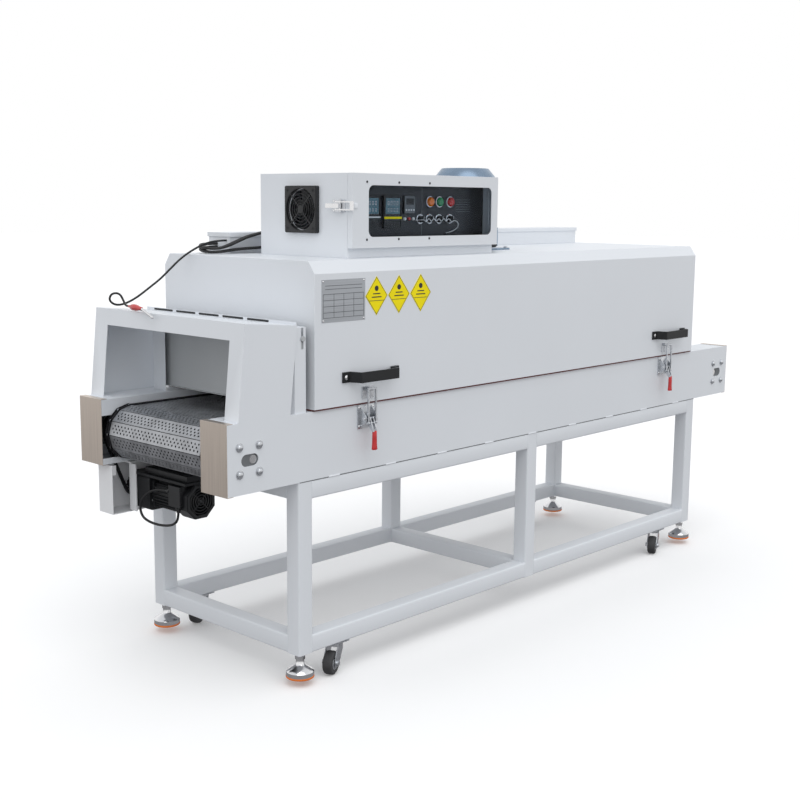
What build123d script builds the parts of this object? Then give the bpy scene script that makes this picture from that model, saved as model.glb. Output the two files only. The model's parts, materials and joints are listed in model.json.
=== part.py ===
from build123d import *
import os
from math import atan2, cos, degrees, hypot, pi, radians, sin, tan

# Conveyor tunnel oven on a welded stand. Millimetres. X runs along the conveyor, with the
# entry end at -X and the operator's side at -Y. Z is up from the undersides of the levelling
# feet, which are screwed up clear of the floor while the machine stands on its casters.

# ---- stand ----
TUBE = 50.0
TUBE_WALL = 3.0
FRAME_LENGTH = 2026.0
FRAME_WIDTH = 650.0
FRAME_BOTTOM = 68.0
FRAME_TOP = 545.0
FOOT_RADIUS = 39.0
FOOT_LIFT = 20.0
STEM_RADIUS = 8.0
STEM_HOLE = 8.05
CASTER_X = (-858.0, 805.0)
CASTER_Y = 300.0
CASTER_TRAIL = (-24.0, -10.0)
WHEEL_RADIUS = 33.0
WHEEL_WIDTH = 28.0

# ---- conveyor ----
CONVEYOR_LENGTH = 2500.0
CHANNEL_TOP = 728.0
CHANNEL_WIDTH = 105.0
PLATE = 3.0
CAP_PLATE = 1.5
CHAIN_PITCH = 38.1
SPROCKET_TEETH = 12
STRAIGHT_LINKS = 61
SHAFT_X = STRAIGHT_LINKS * CHAIN_PITCH / 2
SHAFT_Z = 631.0
SHAFT_RADIUS = 12.5
SHAFT_BORE = 12.55
APOTHEM = CHAIN_PITCH / 2 / tan(pi / SPROCKET_TEETH)
SLAT_HALF = 202.0
CHAIN_Y = 211.0
DRIVE_Y = 265.0
BEARING_X = 1178.0

# ---- hood ----
SHEET = 2.0
HOOD_HALF = 962.0
HOOD_FRONT = -333.0
HOOD_BACK = 307.0
HOOD_MID = (HOOD_FRONT + HOOD_BACK) / 2
HOOD_BOTTOM = 733.0
HOOD_SHOULDER = 1088.0
HOOD_TOP = 1121.0
BEVEL = 24.0
MOUTH_HALF = 237.0
MOUTH_TOP = 900.0
LINING = 50.0
ROOM_X = (-HOOD_HALF + LINING, HOOD_HALF - LINING)
ROOM_Y = (HOOD_FRONT + LINING, HOOD_BACK - LINING)
ROOM_TOP = HOOD_TOP - LINING
HINGE_X = (-700.0, 0.0, 700.0)
HINGE_Y = 331.0
HINGE_Z = 736.0
PIN_RADIUS = 5.0
PIN_BORE = 5.05
FAN_X = 10.0
FAN_SHAFT = 8.0
FAN_BORE = 8.05
HEATERS = 9

# ---- front fittings ----
HANDLE_X = (-754.0, 790.0)
CLAMP_X = (-766.0, 772.0)
CLAMP_PIVOT = (-344.0, 690.0)
HOOK_OFFSET = (-7.0, -12.0)

# ---- control cabinet on the hood ----
CABINET_X = (-775.0, -153.0)
CABINET_Y = (-263.0, 95.0)
CABINET_TOP = 1350.0
DOOR_BOTTOM = 1148.0
DOOR_DEPTH = 20.0
WINDOW_X = (-713.0, -183.0)
WINDOW_Z = (1178.0, 1318.0)
PANEL_Y = -232.0
CONTROLLER_X = (-660.0, -573.0)
LAMP_X = (-412.0, -370.0, -322.0)
LAMP_Z = 1275.0
KNOB_X = (-453.0, -412.0, -370.0, -322.0)
KNOB_Z = 1225.0
KNOB_RADIUS = 9.0
CABINET_FAN = (-87.0, 1251.0)
LATCH_PIVOT = (-781.0, -240.0, 1262.0)
LATCH_OFFSET = (-6.0, 10.4)

# ---- entry end ----
ENTRY_FRONT = -1212.0
ENTRY_BACK = -1040.0
ENTRY_FAR_BACK = -994.0
ENTRY_LEAN = 25.0
ENTRY_TOP = 974.0
ENTRY_FALL = 15.0
GATE_X = -1000.0
GATE_BOTTOM = 741.0
MOTOR_X = -1116.0
MOTOR_Z = 465.0

# ---- the placing of the whole part: its box is centred on the origin, wheels on the floor ----
FRONT_REACH = HOOD_FRONT - 40
BACK_REACH = HINGE_Y + 10
PLACE = Pos(0, -(FRONT_REACH + BACK_REACH) / 2, FOOT_LIFT)

TURN = {"X": Rot(0, 90, 0), "Y": Rot(90, 0, 0), "Z": Rot(0, 0, 0)}
nodes = {}


def block(x, y, z):
    """A box from its (low, high) pairs."""
    size = [high - low for low, high in (x, y, z)]
    centre = [(high + low) / 2 for low, high in (x, y, z)]
    return Pos(*centre) * Box(*size)


def rod(axis, centre, radius, length):
    return Pos(*centre) * TURN[axis] * Cylinder(radius, length)


def ring(axis, centre, radius, bore, length):
    return rod(axis, centre, radius, length) - rod(axis, centre, bore, length + 2)


def cone(axis, centre, bottom, top, length):
    return Pos(*centre) * TURN[axis] * Cone(bottom, top, length)


def prism_x(outline, x0, x1):
    """An outline in Y and Z, drawn out along X."""
    face = make_face(Polyline(*[(x0, y, z) for y, z in outline], close=True))
    return extrude(face, amount=x1 - x0, dir=(1, 0, 0))


def prism_y(outline, y0, y1):
    """An outline in X and Z, drawn out along Y."""
    face = make_face(Polyline(*[(x, y0, z) for x, z in outline], close=True))
    return extrude(face, amount=y1 - y0, dir=(0, 1, 0))


def obround_y(centre, length, height, depth):
    """A slot with round ends, its length along X, cut along Y."""
    straight = (length - height) / 2
    x, y, z = centre
    middle = block((x - straight, x + straight), (y - depth / 2, y + depth / 2),
                   (z - height / 2, z + height / 2))
    ends = [rod("Y", (x + s * straight, y, z), height / 2, depth) for s in (-1, 1)]
    return middle + ends[0] + ends[1]


def open_box(x, y, z, wall, missing):
    """A sheet-metal box whose named sides, such as "+z", are left open."""
    inner = []
    for name, (low, high) in zip("xyz", (x, y, z)):
        low_in = low - 1 if "-" + name in missing else low + wall
        high_in = high + 1 if "+" + name in missing else high - wall
        inner.append((low_in, high_in))
    return block(x, y, z) - block(*inner)


def cord_tube(name, points, diameter):
    """A tube along straight runs joined by tangent arcs, each as large as its runs allow."""
    places = [Vector(*p) for p in points]
    radii = []
    for before, here, after in zip(places, places[1:], places[2:]):
        run_in = here - before
        run_out = after - here
        half_turn = radians(run_in.get_angle(run_out)) / 2
        shorter = min(run_in.length, run_out.length)
        radii.append(0.45 * shorter / tan(half_turn))
    path = FilletPolyline(*places, radius=radii)
    section = Plane(origin=places[0], z_dir=places[1] - places[0]) * Circle(diameter / 2)
    tube = sweep(section, path=path)
    expected = pi * diameter ** 2 / 4 * path.length
    print(f"{name}: length {path.length:.1f}, tightest radius {min(radii):.1f},",
          f"volume ratio {tube.volume / expected:.4f}")
    return tube


def keep(name, *solids):
    """Put the solids of one sub-part into its node."""
    nodes[name] = [PLACE * solid for shape in solids for solid in shape.solids()]


# ---------------------------------------------------------------- stand

def frame_legs():
    """Six square tubes, the end ones closed at the bottom by a threaded foot plate."""
    legs = []
    for x in (-1, 0, 1):
        for y in (-1, 1):
            cx = x * (FRAME_LENGTH - TUBE) / 2
            cy = y * (FRAME_WIDTH - TUBE) / 2
            half = TUBE / 2
            inner = half - TUBE_WALL
            leg = block((cx - half, cx + half), (cy - half, cy + half), (FRAME_BOTTOM, FRAME_TOP))
            leg -= block((cx - inner, cx + inner), (cy - inner, cy + inner),
                         (FRAME_BOTTOM + 8, FRAME_TOP - TUBE_WALL))
            if x:
                leg -= rod("Z", (cx, cy, FRAME_BOTTOM), STEM_HOLE, 40)
            legs.append(leg)
    return legs


def tube_along(axis, centre, length):
    half = TUBE / 2
    inner = half - TUBE_WALL
    x, y, z = centre
    if axis == "X":
        span = (x - length / 2, x + length / 2)
        return (block(span, (y - half, y + half), (z - half, z + half))
                - block(span, (y - inner, y + inner), (z - inner, z + inner)))
    span = (y - length / 2, y + length / 2)
    return (block((x - half, x + half), span, (z - half, z + half))
            - block((x - inner, x + inner), span, (z - inner, z + inner)))


def frame_rails():
    """Long rails between the legs at the front and back, and cross rails at each pair of legs."""
    bay = (FRAME_LENGTH - 3 * TUBE) / 2
    rails = []
    for z in (FRAME_BOTTOM + TUBE / 2, FRAME_TOP - TUBE / 2):
        for side in (-1, 1):
            y = side * (FRAME_WIDTH - TUBE) / 2
            for end in (-1, 1):
                rails.append(tube_along("X", (end * (bay + TUBE) / 2, y, z), bay))
        for place in (-1, 0, 1):
            x = place * (FRAME_LENGTH - TUBE) / 2
            rails.append(tube_along("Y", (x, 0, z), FRAME_WIDTH - 2 * TUBE))
    return rails


def levelling_feet():
    """A threaded stem, a lock nut and a cone-backed pad under each corner leg."""
    number = 0
    for x in (-1, 1):
        for y in (-1, 1):
            number += 1
            cx = x * (FRAME_LENGTH - TUBE) / 2
            cy = y * (FRAME_WIDTH - TUBE) / 2
            foot = rod("Z", (cx, cy, 9.5), FOOT_RADIUS, 19)
            foot += cone("Z", (cx, cy, 28), FOOT_RADIUS - 2, 12, 18)
            foot += rod("Z", (cx, cy, 46), 11.5, 20)
            foot += rod("Z", (cx, cy, 72), STEM_RADIUS, 80)
            foot += Pos(cx, cy, 50) * extrude(RegularPolygon(14, 6), amount=9)
            keep(f"levelling_foot_{number}", foot)


def caster_parts():
    """The plate and swivel race stay on the rail; the fork and the wheel are separate."""
    fixed = []
    number = 0
    for x in CASTER_X:
        for side in (-1, 1):
            number += 1
            y = side * CASTER_Y
            fixed.append(block((x - 34, x + 34), (y - 24, y + 24), (FRAME_BOTTOM - 3, FRAME_BOTTOM))
                         + rod("Z", (x, y, FRAME_BOTTOM - 5), 21, 6)
                         + rod("Z", (x, y, FRAME_BOTTOM - 4.5), 5, 7))
            caster_fork(number, x, y)
    return fixed


def caster_fork(number, x, y):
    axle_z = WHEEL_RADIUS - FOOT_LIFT
    trail = hypot(*CASTER_TRAIL)
    heading = degrees(atan2(CASTER_TRAIL[1], CASTER_TRAIL[0]))
    local = Pos(x, y, 0) * Rot(0, 0, heading)
    top = FRAME_BOTTOM - 8.4
    fork = Pos(0, 0, top - 2) * Cylinder(20, 4)
    cheek_line = [(-15, top), (17, top), (trail + 11, axle_z + 12), (trail + 11, axle_z - 11),
                  (trail - 11, axle_z - 11), (-15, top - 16)]
    gap = WHEEL_WIDTH / 2 + 1.5
    for low in (gap, -gap - 3):
        fork += prism_y(cheek_line, low, low + 3)
    bolt = rod("Y", (trail, 0, axle_z), 4.0, 2 * gap)
    heads = [rod("Y", (trail, s * (gap + 6), axle_z), 7, 6) for s in (-1, 1)]
    keep(f"caster_fork_{number}", local * fork, local * bolt, local * heads[0], local * heads[1])
    wheel = rod("Y", (trail, 0, axle_z), WHEEL_RADIUS, WHEEL_WIDTH)
    wheel = wheel - rod("Y", (trail, 0, axle_z), 4.05, WHEEL_WIDTH + 6)
    keep(f"caster_wheel_{number}", local * wheel)


# ---------------------------------------------------------------- conveyor

def side_channel(side):
    """A folded side channel, open inwards between a deep upper lip and a shallow lower one."""
    outer = side * FRAME_WIDTH / 2
    inner = side * (FRAME_WIDTH / 2 - CHANNEL_WIDTH)
    length = (-CONVEYOR_LENGTH / 2 + CAP_PLATE, CONVEYOR_LENGTH / 2 - CAP_PLATE)
    across = tuple(sorted((outer, inner)))
    web = tuple(sorted((outer, outer - side * PLATE)))
    lip = tuple(sorted((inner, inner + side * PLATE)))
    channel = block(length, web, (FRAME_TOP, CHANNEL_TOP))
    channel += block(length, across, (CHANNEL_TOP - PLATE, CHANNEL_TOP))
    channel += block(length, across, (FRAME_TOP, FRAME_TOP + PLATE))
    channel += block(length, lip, (CHANNEL_TOP - 45, CHANNEL_TOP))
    channel += block(length, lip, (FRAME_TOP, FRAME_TOP + 17))
    for end in (-1, 1):
        channel -= obround_y((end * (BEARING_X - 2), outer, SHAFT_Z), 56, 31, 20)
    if side > 0:
        channel -= block((-1225, -1085), (DRIVE_Y - 13, DRIVE_Y + 13), (FRAME_TOP - 5, FRAME_TOP + 8))
    return channel


def end_caps():
    """Bright plates on the channel ends, each with a short return above and below."""
    caps = []
    for end in (-1, 1):
        for side in (-1, 1):
            x = tuple(sorted((end * CONVEYOR_LENGTH / 2, end * (CONVEYOR_LENGTH / 2 - CAP_PLATE))))
            back = tuple(sorted((end * CONVEYOR_LENGTH / 2, end * (CONVEYOR_LENGTH / 2 - 20))))
            y = tuple(sorted((side * FRAME_WIDTH / 2, side * (FRAME_WIDTH / 2 - CHANNEL_WIDTH))))
            cap = block(x, y, (FRAME_TOP - CAP_PLATE, CHANNEL_TOP + CAP_PLATE))
            cap += block(back, y, (CHANNEL_TOP, CHANNEL_TOP + CAP_PLATE))
            cap += block(back, y, (FRAME_TOP - CAP_PLATE, FRAME_TOP))
            caps.append(cap)
    keep("end_caps", *caps)


def wrap_pieces(y, radial, tangential):
    """The flat links that go round the sprockets at both ends."""
    step = 360 / SPROCKET_TEETH
    middle = (radial[0] + radial[1]) / 2
    pieces = []
    for end in (-1, 1):
        for k in range(1, SPROCKET_TEETH // 2):
            angle = radians(90 + end * -step * k)
            centre = (end * SHAFT_X + middle * cos(angle), (y[0] + y[1]) / 2,
                      SHAFT_Z + middle * sin(angle))
            tilt = Rot(0, 90 - (90 + end * -step * k), 0)
            pieces.append(Pos(*centre) * tilt * Box(tangential, y[1] - y[0], radial[1] - radial[0]))
    return pieces


def conveyor_belt():
    """Perforated slats carried by a roller chain along each edge, closed round both shafts."""
    straight = (-SHAFT_X + 0.3, SHAFT_X - 0.3)
    slats = (APOTHEM + 1, APOTHEM + 3)
    chain = (APOTHEM - 6, APOTHEM + 6)
    pieces = wrap_pieces((-SLAT_HALF, SLAT_HALF), slats, 36.4)
    for low, high in (slats, (-slats[1], -slats[0])):
        pieces.append(block(straight, (-SLAT_HALF, SLAT_HALF), (SHAFT_Z + low, SHAFT_Z + high)))
    for side in (-1, 1):
        y = (side * CHAIN_Y - 6, side * CHAIN_Y + 6)
        pieces += wrap_pieces(y, chain, 34.4)
        for low, high in (chain, (-chain[1], -chain[0])):
            pieces.append(block(straight, y, (SHAFT_Z + low, SHAFT_Z + high)))
    keep("conveyor_belt", *pieces)


def chamber_tray():
    """The insulated floor between the two belt runs, and the rails that the chains run on."""
    half = 1070
    edge = 203
    lip = FRAME_WIDTH / 2 - CHANNEL_WIDTH
    upper = SHAFT_Z + APOTHEM - 6.5
    lower = SHAFT_Z - APOTHEM - 6.5
    parts = [open_box((-HOOD_HALF, HOOD_HALF), (-edge, edge), (640, 688), SHEET, ())]
    for side in (-1, 1):
        shelf = tuple(sorted((side * edge, side * lip)))
        web = tuple(sorted((side * edge, side * (edge + SHEET))))
        rail = block((-half, half), shelf, (upper - 3, upper))
        parts.append(rail + block((-half, half), web, (640, upper)))
        parts.append(block((-half, half), shelf, (lower - 3, lower)))
    keep("chamber_tray", *parts)


def shaft_bearings():
    """A flanged block behind each channel web, with four dome-headed bolts on the outside."""
    parts = []
    for end in (-1, 1):
        for side in (-1, 1):
            x = end * BEARING_X
            face = side * (FRAME_WIDTH / 2 - PLATE)
            y = tuple(sorted((face, face - side * 30)))
            bearing = block((x - 43, x + 43), y, (SHAFT_Z - 43, SHAFT_Z + 46))
            bearing -= rod("Y", (end * SHAFT_X, face - side * 15, SHAFT_Z), SHAFT_BORE, 40)
            parts.append(bearing)
            outside = side * FRAME_WIDTH / 2
            for dx in (-32, 32):
                for dz in (-33, 36):
                    spot = (x + dx, outside + side * 1, SHAFT_Z + dz)
                    bolt = rod("Y", spot, 11, 2) + rod("Y", (spot[0], outside + side * 5, spot[2]), 8, 6)
                    parts.append(bolt)
    keep("shaft_bearings", *parts)


def belt_shaft(name, end, sprockets):
    """A cross shaft with a disc for each belt chain, and any further drive sprocket."""
    shaft = rod("Y", (end * SHAFT_X, 0, SHAFT_Z), SHAFT_RADIUS, FRAME_WIDTH - 10)
    for side in (-1, 1):
        shaft += rod("Y", (end * SHAFT_X, side * CHAIN_Y, SHAFT_Z), APOTHEM - 7.1, 8)
        shaft += rod("Y", (end * SHAFT_X, side * (CHAIN_Y - 12), SHAFT_Z), 24, 24)
    for y, radius in sprockets:
        shaft += rod("Y", (end * SHAFT_X, y, SHAFT_Z), radius, 6)
    keep(name, shaft)


def drive():
    """Gearmotor, its output pinion, the drive chain, and the plate and guard that hold them."""
    large, small = 49.0, 27.0
    belt_shaft("drive_shaft", -1, [(DRIVE_Y, large)])
    belt_shaft("tail_shaft", 1, [])
    pinion = rod("Y", (MOTOR_X, 226, MOTOR_Z), 7.5, 92)
    pinion += rod("Y", (MOTOR_X, DRIVE_Y, MOTOR_Z), small, 6)
    keep("drive_pinion", pinion)
    centres = ((-SHAFT_X, SHAFT_Z), (MOTOR_X, MOTOR_Z))
    keep("drive_chain", loop_band(centres, (large, small), 1, 8))
    plate = block((-1170, -1056), (205, 211), (406, FRAME_TOP - 4))
    plate += block((-1170, -1166), (180, 211), (406, FRAME_TOP - 4))
    plate += block((-1170, -1056), (205, 262), (FRAME_TOP - 4, FRAME_TOP))
    plate -= rod("Y", (MOTOR_X, 208, MOTOR_Z), 14, 20)
    plate -= block((-1200, -1085), (DRIVE_Y - 13, DRIVE_Y + 20), (FRAME_TOP - 6, FRAME_TOP + 2))
    guard = open_box((-1226, -1056), (212, 279), (400, FRAME_TOP - 5), SHEET, ("+z", "-y"))
    guard += block((-1226, -1212), (212, 214), (512, FRAME_TOP - 5))
    keep("drive_guard", plate, guard)
    gearbox = block((MOTOR_X - 48, MOTOR_X + 48), (120, 205), (MOTOR_Z - 48, MOTOR_Z + 48))
    motor = rod("Y", (MOTOR_X, 65, MOTOR_Z), 46, 110)
    cowl = Pos(MOTOR_X, 10, MOTOR_Z) * Rot(90, 0, 0) * Rot(0, 0, 22.5) \
        * extrude(RegularPolygon(52, 8), amount=57)
    terminal = block((MOTOR_X - 58, MOTOR_X - 30), (-28, 24), (MOTOR_Z - 15, MOTOR_Z + 45))
    body = gearbox + motor + cowl + terminal
    body -= rod("Y", (MOTOR_X, 190, MOTOR_Z), 7.55, 40)
    keep("gearmotor", body)


def loop_band(centres, radii, inner_gap, outer_gap):
    """A closed band round two discs, between two distances from their rims."""
    layers = []
    for gap in (outer_gap, inner_gap):
        rounds = [Pos(x, z) * Circle(r + gap) for (x, z), r in zip(centres, radii)]
        hull = make_hull(rounds[0].edges() + rounds[1].edges())
        layers.append(extrude(Plane.XZ * Pos(0, 0, -DRIVE_Y - 4) * hull, amount=8))
    return layers[0] - layers[1]


# ---------------------------------------------------------------- entry end

def roof_z(x):
    """The height of the portal's roof, which falls towards the hood."""
    return ENTRY_TOP - ENTRY_FALL * (x - ENTRY_FRONT - ENTRY_LEAN) / (ENTRY_BACK - ENTRY_FRONT)


def entry_hood():
    """A leaning portal of folded sheet: front frame, slotted roof and two side walls."""
    half = FRAME_WIDTH / 2
    foot = CHANNEL_TOP
    front = [(ENTRY_FRONT, foot), (ENTRY_FRONT + ENTRY_LEAN, ENTRY_TOP)]
    rear_top = ENTRY_BACK + ENTRY_LEAN
    near_rear = [(rear_top, roof_z(rear_top)), (ENTRY_BACK, foot)]
    far_rear = [(ENTRY_FAR_BACK, roof_z(ENTRY_FAR_BACK)), (ENTRY_FAR_BACK, foot)]
    hood = prism_y(front + [(x + SHEET, z) for x, z in reversed(front)], -half, half)
    hood -= block((ENTRY_FRONT - 10, ENTRY_BACK), (-270, 265), (foot - 1, ENTRY_TOP - 45))
    hood += prism_y(front + near_rear, -half, -half + SHEET)
    hood += prism_y(front + far_rear, half - SHEET, half)
    roof = [front[1], near_rear[0]]
    slab = prism_y(roof + [(x, z - SHEET) for x, z in reversed(roof)], -half, half)
    for k in range(5):
        y = -172 + k * 104
        slab -= block((-1050, -1036), (y - 40, y + 40), (ENTRY_TOP - 30, ENTRY_TOP))
    hood += slab
    for low, high in ((-half, -270), (265, half)):
        hood += block((ENTRY_FRONT, ENTRY_FRONT + 20), (low, high), (foot, foot + SHEET))
    keep("entry_hood", hood)


def tunnel_collar():
    """A folded collar between the portal and the hood that guides the entry gate."""
    x = (-1020, -981)
    y = (-320, 294)
    top = 953
    collar = open_box(x, y, (CHANNEL_TOP, top), SHEET, ("-z", "-x", "+x"))
    for low, high in ((y[0], -MOUTH_HALF), (MOUTH_HALF, y[1])):
        collar += block((x[0], x[0] + SHEET), (low, high), (CHANNEL_TOP, top))
    collar += block((x[0], x[0] + SHEET), y, (top - 30, top))
    for wall in y:
        collar -= block((GATE_X + 3, GATE_X + 11), (wall - 5, wall + 5), (895, 951))
    keep("tunnel_collar", collar)


def entry_gate():
    """The sheet that sets the height of the entry, with a screw through each collar slot."""
    y = (-317, 291)
    gate = block((GATE_X, GATE_X + SHEET), y, (GATE_BOTTOM, 920))
    gate += block((GATE_X, GATE_X + 14), (y[0], y[0] + SHEET), (GATE_BOTTOM, 930))
    gate += block((GATE_X, GATE_X + 14), (y[1] - SHEET, y[1]), (GATE_BOTTOM, 930))
    gate += block((GATE_X - 8, GATE_X), (y[0] + 20, y[1] - 20), (GATE_BOTTOM, GATE_BOTTOM + SHEET))
    screws = []
    for wall, side in ((-318, -1), (292, 1)):
        x = GATE_X + 7
        screws.append(rod("Y", (x, wall - side * 2, 923), 3, 10)
                      + rod("Y", (x, wall + side * 4.5, 923), 7, 3.5))
    keep("entry_gate", gate, *screws)


def hood_gasket():
    """The seal that the closed hood rests on."""
    outer = block((-960, 960), (-331, 305), (CHANNEL_TOP, HOOD_BOTTOM))
    inner = block((-940, 940), (-311, 285), (CHANNEL_TOP - 1, HOOD_BOTTOM + 1))
    seal = outer - inner
    seal -= block((-970, 970), (-222, 222), (CHANNEL_TOP - 1, HOOD_BOTTOM + 1))
    seal -= block((-970, 970), (-340, -325), (CHANNEL_TOP - 1, HOOD_BOTTOM - 4))
    keep("hood_gasket", seal)


# ---------------------------------------------------------------- hood

def hood_outline(inset, bottom):
    """The hood's cross-section in Y and Z, moved inwards by the inset."""
    drop = HOOD_TOP - HOOD_SHOULDER
    slope = hypot(BEVEL, drop)
    shoulder = HOOD_SHOULDER - inset * (slope - drop) / BEVEL
    corner = BEVEL + inset * (slope - BEVEL) / drop
    front, back = HOOD_FRONT + inset, HOOD_BACK - inset
    top = HOOD_TOP - inset
    return [(front, bottom), (front, shoulder), (HOOD_FRONT + corner, top),
            (HOOD_BACK - corner, top), (back, shoulder), (back, bottom)]


def fan_hole(radius):
    return rod("Z", (FAN_X, HOOD_MID, HOOD_TOP - 30), radius, 100)


def hood_shells():
    """The outer casing, and the wool between it and the lining."""
    end = HOOD_HALF
    shell = prism_x(hood_outline(0, HOOD_BOTTOM), -end, end)
    shell -= prism_x(hood_outline(SHEET, HOOD_BOTTOM - 1), -end + SHEET, end - SHEET)
    mouth = block((-end - 5, end + 5), (-MOUTH_HALF, MOUTH_HALF), (HOOD_BOTTOM - 1, MOUTH_TOP))
    keep("hood_shell", shell - mouth - fan_hole(14))
    wool = prism_x(hood_outline(SHEET, HOOD_BOTTOM + SHEET), -end + SHEET, end - SHEET)
    wool -= block(ROOM_X, ROOM_Y, (HOOD_BOTTOM, ROOM_TOP))
    wool -= block((-end, end), (-MOUTH_HALF - SHEET, MOUTH_HALF + SHEET), (HOOD_BOTTOM, MOUTH_TOP + SHEET))
    keep("hood_insulation", wool - fan_hole(14))


def hood_lining():
    """The bright panels of the heated room, its mouth sleeves, and the rim under the wool."""
    floor = HOOD_BOTTOM + SHEET
    inner_y = (ROOM_Y[0] + SHEET, ROOM_Y[1] - SHEET)
    walls_z = (floor, ROOM_TOP - SHEET)
    panels = [block(ROOM_X, ROOM_Y, (ROOM_TOP - SHEET, ROOM_TOP)) - fan_hole(14)]
    panels.append(block(ROOM_X, (ROOM_Y[0], inner_y[0]), walls_z))
    panels.append(block(ROOM_X, (inner_y[1], ROOM_Y[1]), walls_z))
    rim_x = (-HOOD_HALF + SHEET, HOOD_HALF - SHEET)
    panels.append(block(rim_x, (HOOD_FRONT + SHEET, inner_y[0]), (HOOD_BOTTOM, floor)))
    panels.append(block(rim_x, (inner_y[1], HOOD_BACK - SHEET), (HOOD_BOTTOM, floor)))
    cheek = MOUTH_HALF + SHEET
    for end in (-1, 1):
        wall_x = tuple(sorted((end * ROOM_X[1], end * (ROOM_X[1] - SHEET))))
        sleeve_x = tuple(sorted((end * ROOM_X[1], end * (HOOD_HALF - SHEET))))
        strip_x = tuple(sorted((end * (ROOM_X[1] - SHEET), end * (HOOD_HALF - SHEET))))
        panels.append(block(wall_x, (-cheek, cheek), (MOUTH_TOP, walls_z[1])))
        panels.append(block(sleeve_x, (-cheek, cheek), (MOUTH_TOP, MOUTH_TOP + SHEET)))
        for low, high in ((inner_y[0], -MOUTH_HALF), (MOUTH_HALF, inner_y[1])):
            panels.append(block(strip_x, (low, high), (HOOD_BOTTOM, floor)))
        for low, high in ((inner_y[0], -cheek), (cheek, inner_y[1])):
            panels.append(block(wall_x, (low, high), walls_z))
        for low, high in ((-cheek, -MOUTH_HALF), (MOUTH_HALF, cheek)):
            panels.append(block(sleeve_x, (low, high), (floor, MOUTH_TOP)))
    keep("hood_liner", *panels)


def heating():
    """Quartz tubes under a slotted air plate, in two hung rails."""
    y = (ROOM_Y[0] + SHEET, ROOM_Y[1] - SHEET)
    plate = block((-908, 908), (y[0] + 1, y[1] - 1), (962, 964))
    plate -= rod("Z", (FAN_X, HOOD_MID, 963), 90, 10)
    for k in range(-8, 9):
        x = k * 104
        if abs(x - FAN_X) > 110:
            plate -= block((x - 9, x + 9), (HOOD_MID - 200, HOOD_MID + 200), (955, 970))
    rails = []
    for wall in (y[0] + 8, y[1] - 8):
        rail = block((-905, 905), (wall - 1.5, wall + 1.5), (890, 962))
        for k in range(HEATERS):
            rail -= rod("Y", ((k - HEATERS // 2) * 205, wall, 915), 9, 10)
        rails.append(rail)
    keep("air_plate", plate, *rails)
    tubes = []
    for k in range(HEATERS):
        x = (k - HEATERS // 2) * 205
        tubes.append(rod("Y", (x, HOOD_MID, 915), 6, y[1] - y[0] - 34))
        for wall, inward in ((y[0] + 8, 1), (y[1] - 8, -1)):
            tubes.append(rod("Y", (x, wall + inward * 2.5, 915), 9, 13)
                         - rod("Y", (x, wall + inward * 13, 915), 6, 8))
    keep("heater_tubes", *tubes)


def circulation_fan():
    """The motor stands on the hood; its shaft carries the wheel above the air plate."""
    y = HOOD_MID
    base = block((FAN_X - 110, FAN_X + 110), (y - 110, y + 110), (HOOD_TOP, HOOD_TOP + 6))
    base += rod("Z", (FAN_X, y, HOOD_TOP + 20), 60, 30)
    body = rod("Z", (FAN_X, y, 1237), 84, 206)
    cowl = rod("Z", (FAN_X, y, 1338), 101, 34) + cone("Z", (FAN_X, y, 1369.5), 101, 76, 29)
    box = block((FAN_X - 70, FAN_X + 10), (y - 135, y - 60), (1135, 1195))
    motor = base + body + cowl + box
    keep("fan_motor", motor - rod("Z", (FAN_X, y, HOOD_TOP + 30), FAN_BORE, 120))
    wheel = rod("Z", (FAN_X, y, (980 + 1200) / 2), FAN_SHAFT, 220)
    wheel += rod("Z", (FAN_X, y, 1000), 20, 40)
    wheel += rod("Z", (FAN_X, y, 1048), 95, 2.5)
    for k in range(12):
        blade = Rot(0, 0, k * 30) * Pos(75, 0, 1012) * Rot(0, 0, 35) * Box(44, 2.5, 72)
        wheel += Pos(FAN_X, y, 0) * blade
    wheel += rod("Z", (FAN_X, y, 1030), 20, 40)
    keep("fan_wheel", wheel)


def hood_handle(x):
    """A flat bar bent into a bridge, with a foot at each end."""
    y = HOOD_FRONT
    outline = [(-109, y), (-79, y), (-68, y - 35), (68, y - 35), (79, y), (109, y),
               (109, y - 5), (84, y - 5), (73, y - 40), (-73, y - 40), (-84, y - 5), (-109, y - 5)]
    face = make_face(Polyline(*[(x + px, py, 795) for px, py in outline], close=True))
    return extrude(face, amount=29, dir=(0, 0, 1))


def hinge_pair(x):
    """The fixed leaf with its pin, and the moving leaf on the hood's back."""
    sweep_y = (FRAME_WIDTH / 2, FRAME_WIDTH / 2 + 4)
    fixed = block((x - 45, x + 45), sweep_y, (690, 724))
    moving = block((x - 18, x + 18), (HOOD_BACK, HOOD_BACK + 4), (750, 800))
    moving += block((x - 18, x + 18), (HOOD_BACK, HINGE_Y), (750, 754))
    moving += block((x - 18, x + 18), (HINGE_Y - 5, HINGE_Y + 4), (744, 754))
    moving += rod("X", (x, HINGE_Y, HINGE_Z), 10, 36)
    moving -= rod("X", (x, HINGE_Y, HINGE_Z), PIN_BORE, 60)
    for side in (-1, 1):
        knuckle_x = x + side * 32
        fixed += rod("X", (knuckle_x, HINGE_Y, HINGE_Z), 10, 26)
        fixed += block((knuckle_x - 13, knuckle_x + 13), sweep_y, (690, HINGE_Z))
    fixed += rod("X", (x, HINGE_Y, HINGE_Z), PIN_RADIUS, 90)
    return fixed, moving


def clamp_catch(x):
    """The bracket on the hood; the hook's bar stands just off its nose."""
    nose = CLAMP_PIVOT[0] + HOOK_OFFSET[0] + 3.3
    catch = block((x - 22, x + 22), (HOOD_FRONT - 3, HOOD_FRONT), (745, 778))
    catch += block((x - 9, x + 9), (nose, HOOD_FRONT), (766, 769))
    return catch + block((x - 9, x + 9), (nose, nose + 2), (766, 776))


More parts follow.
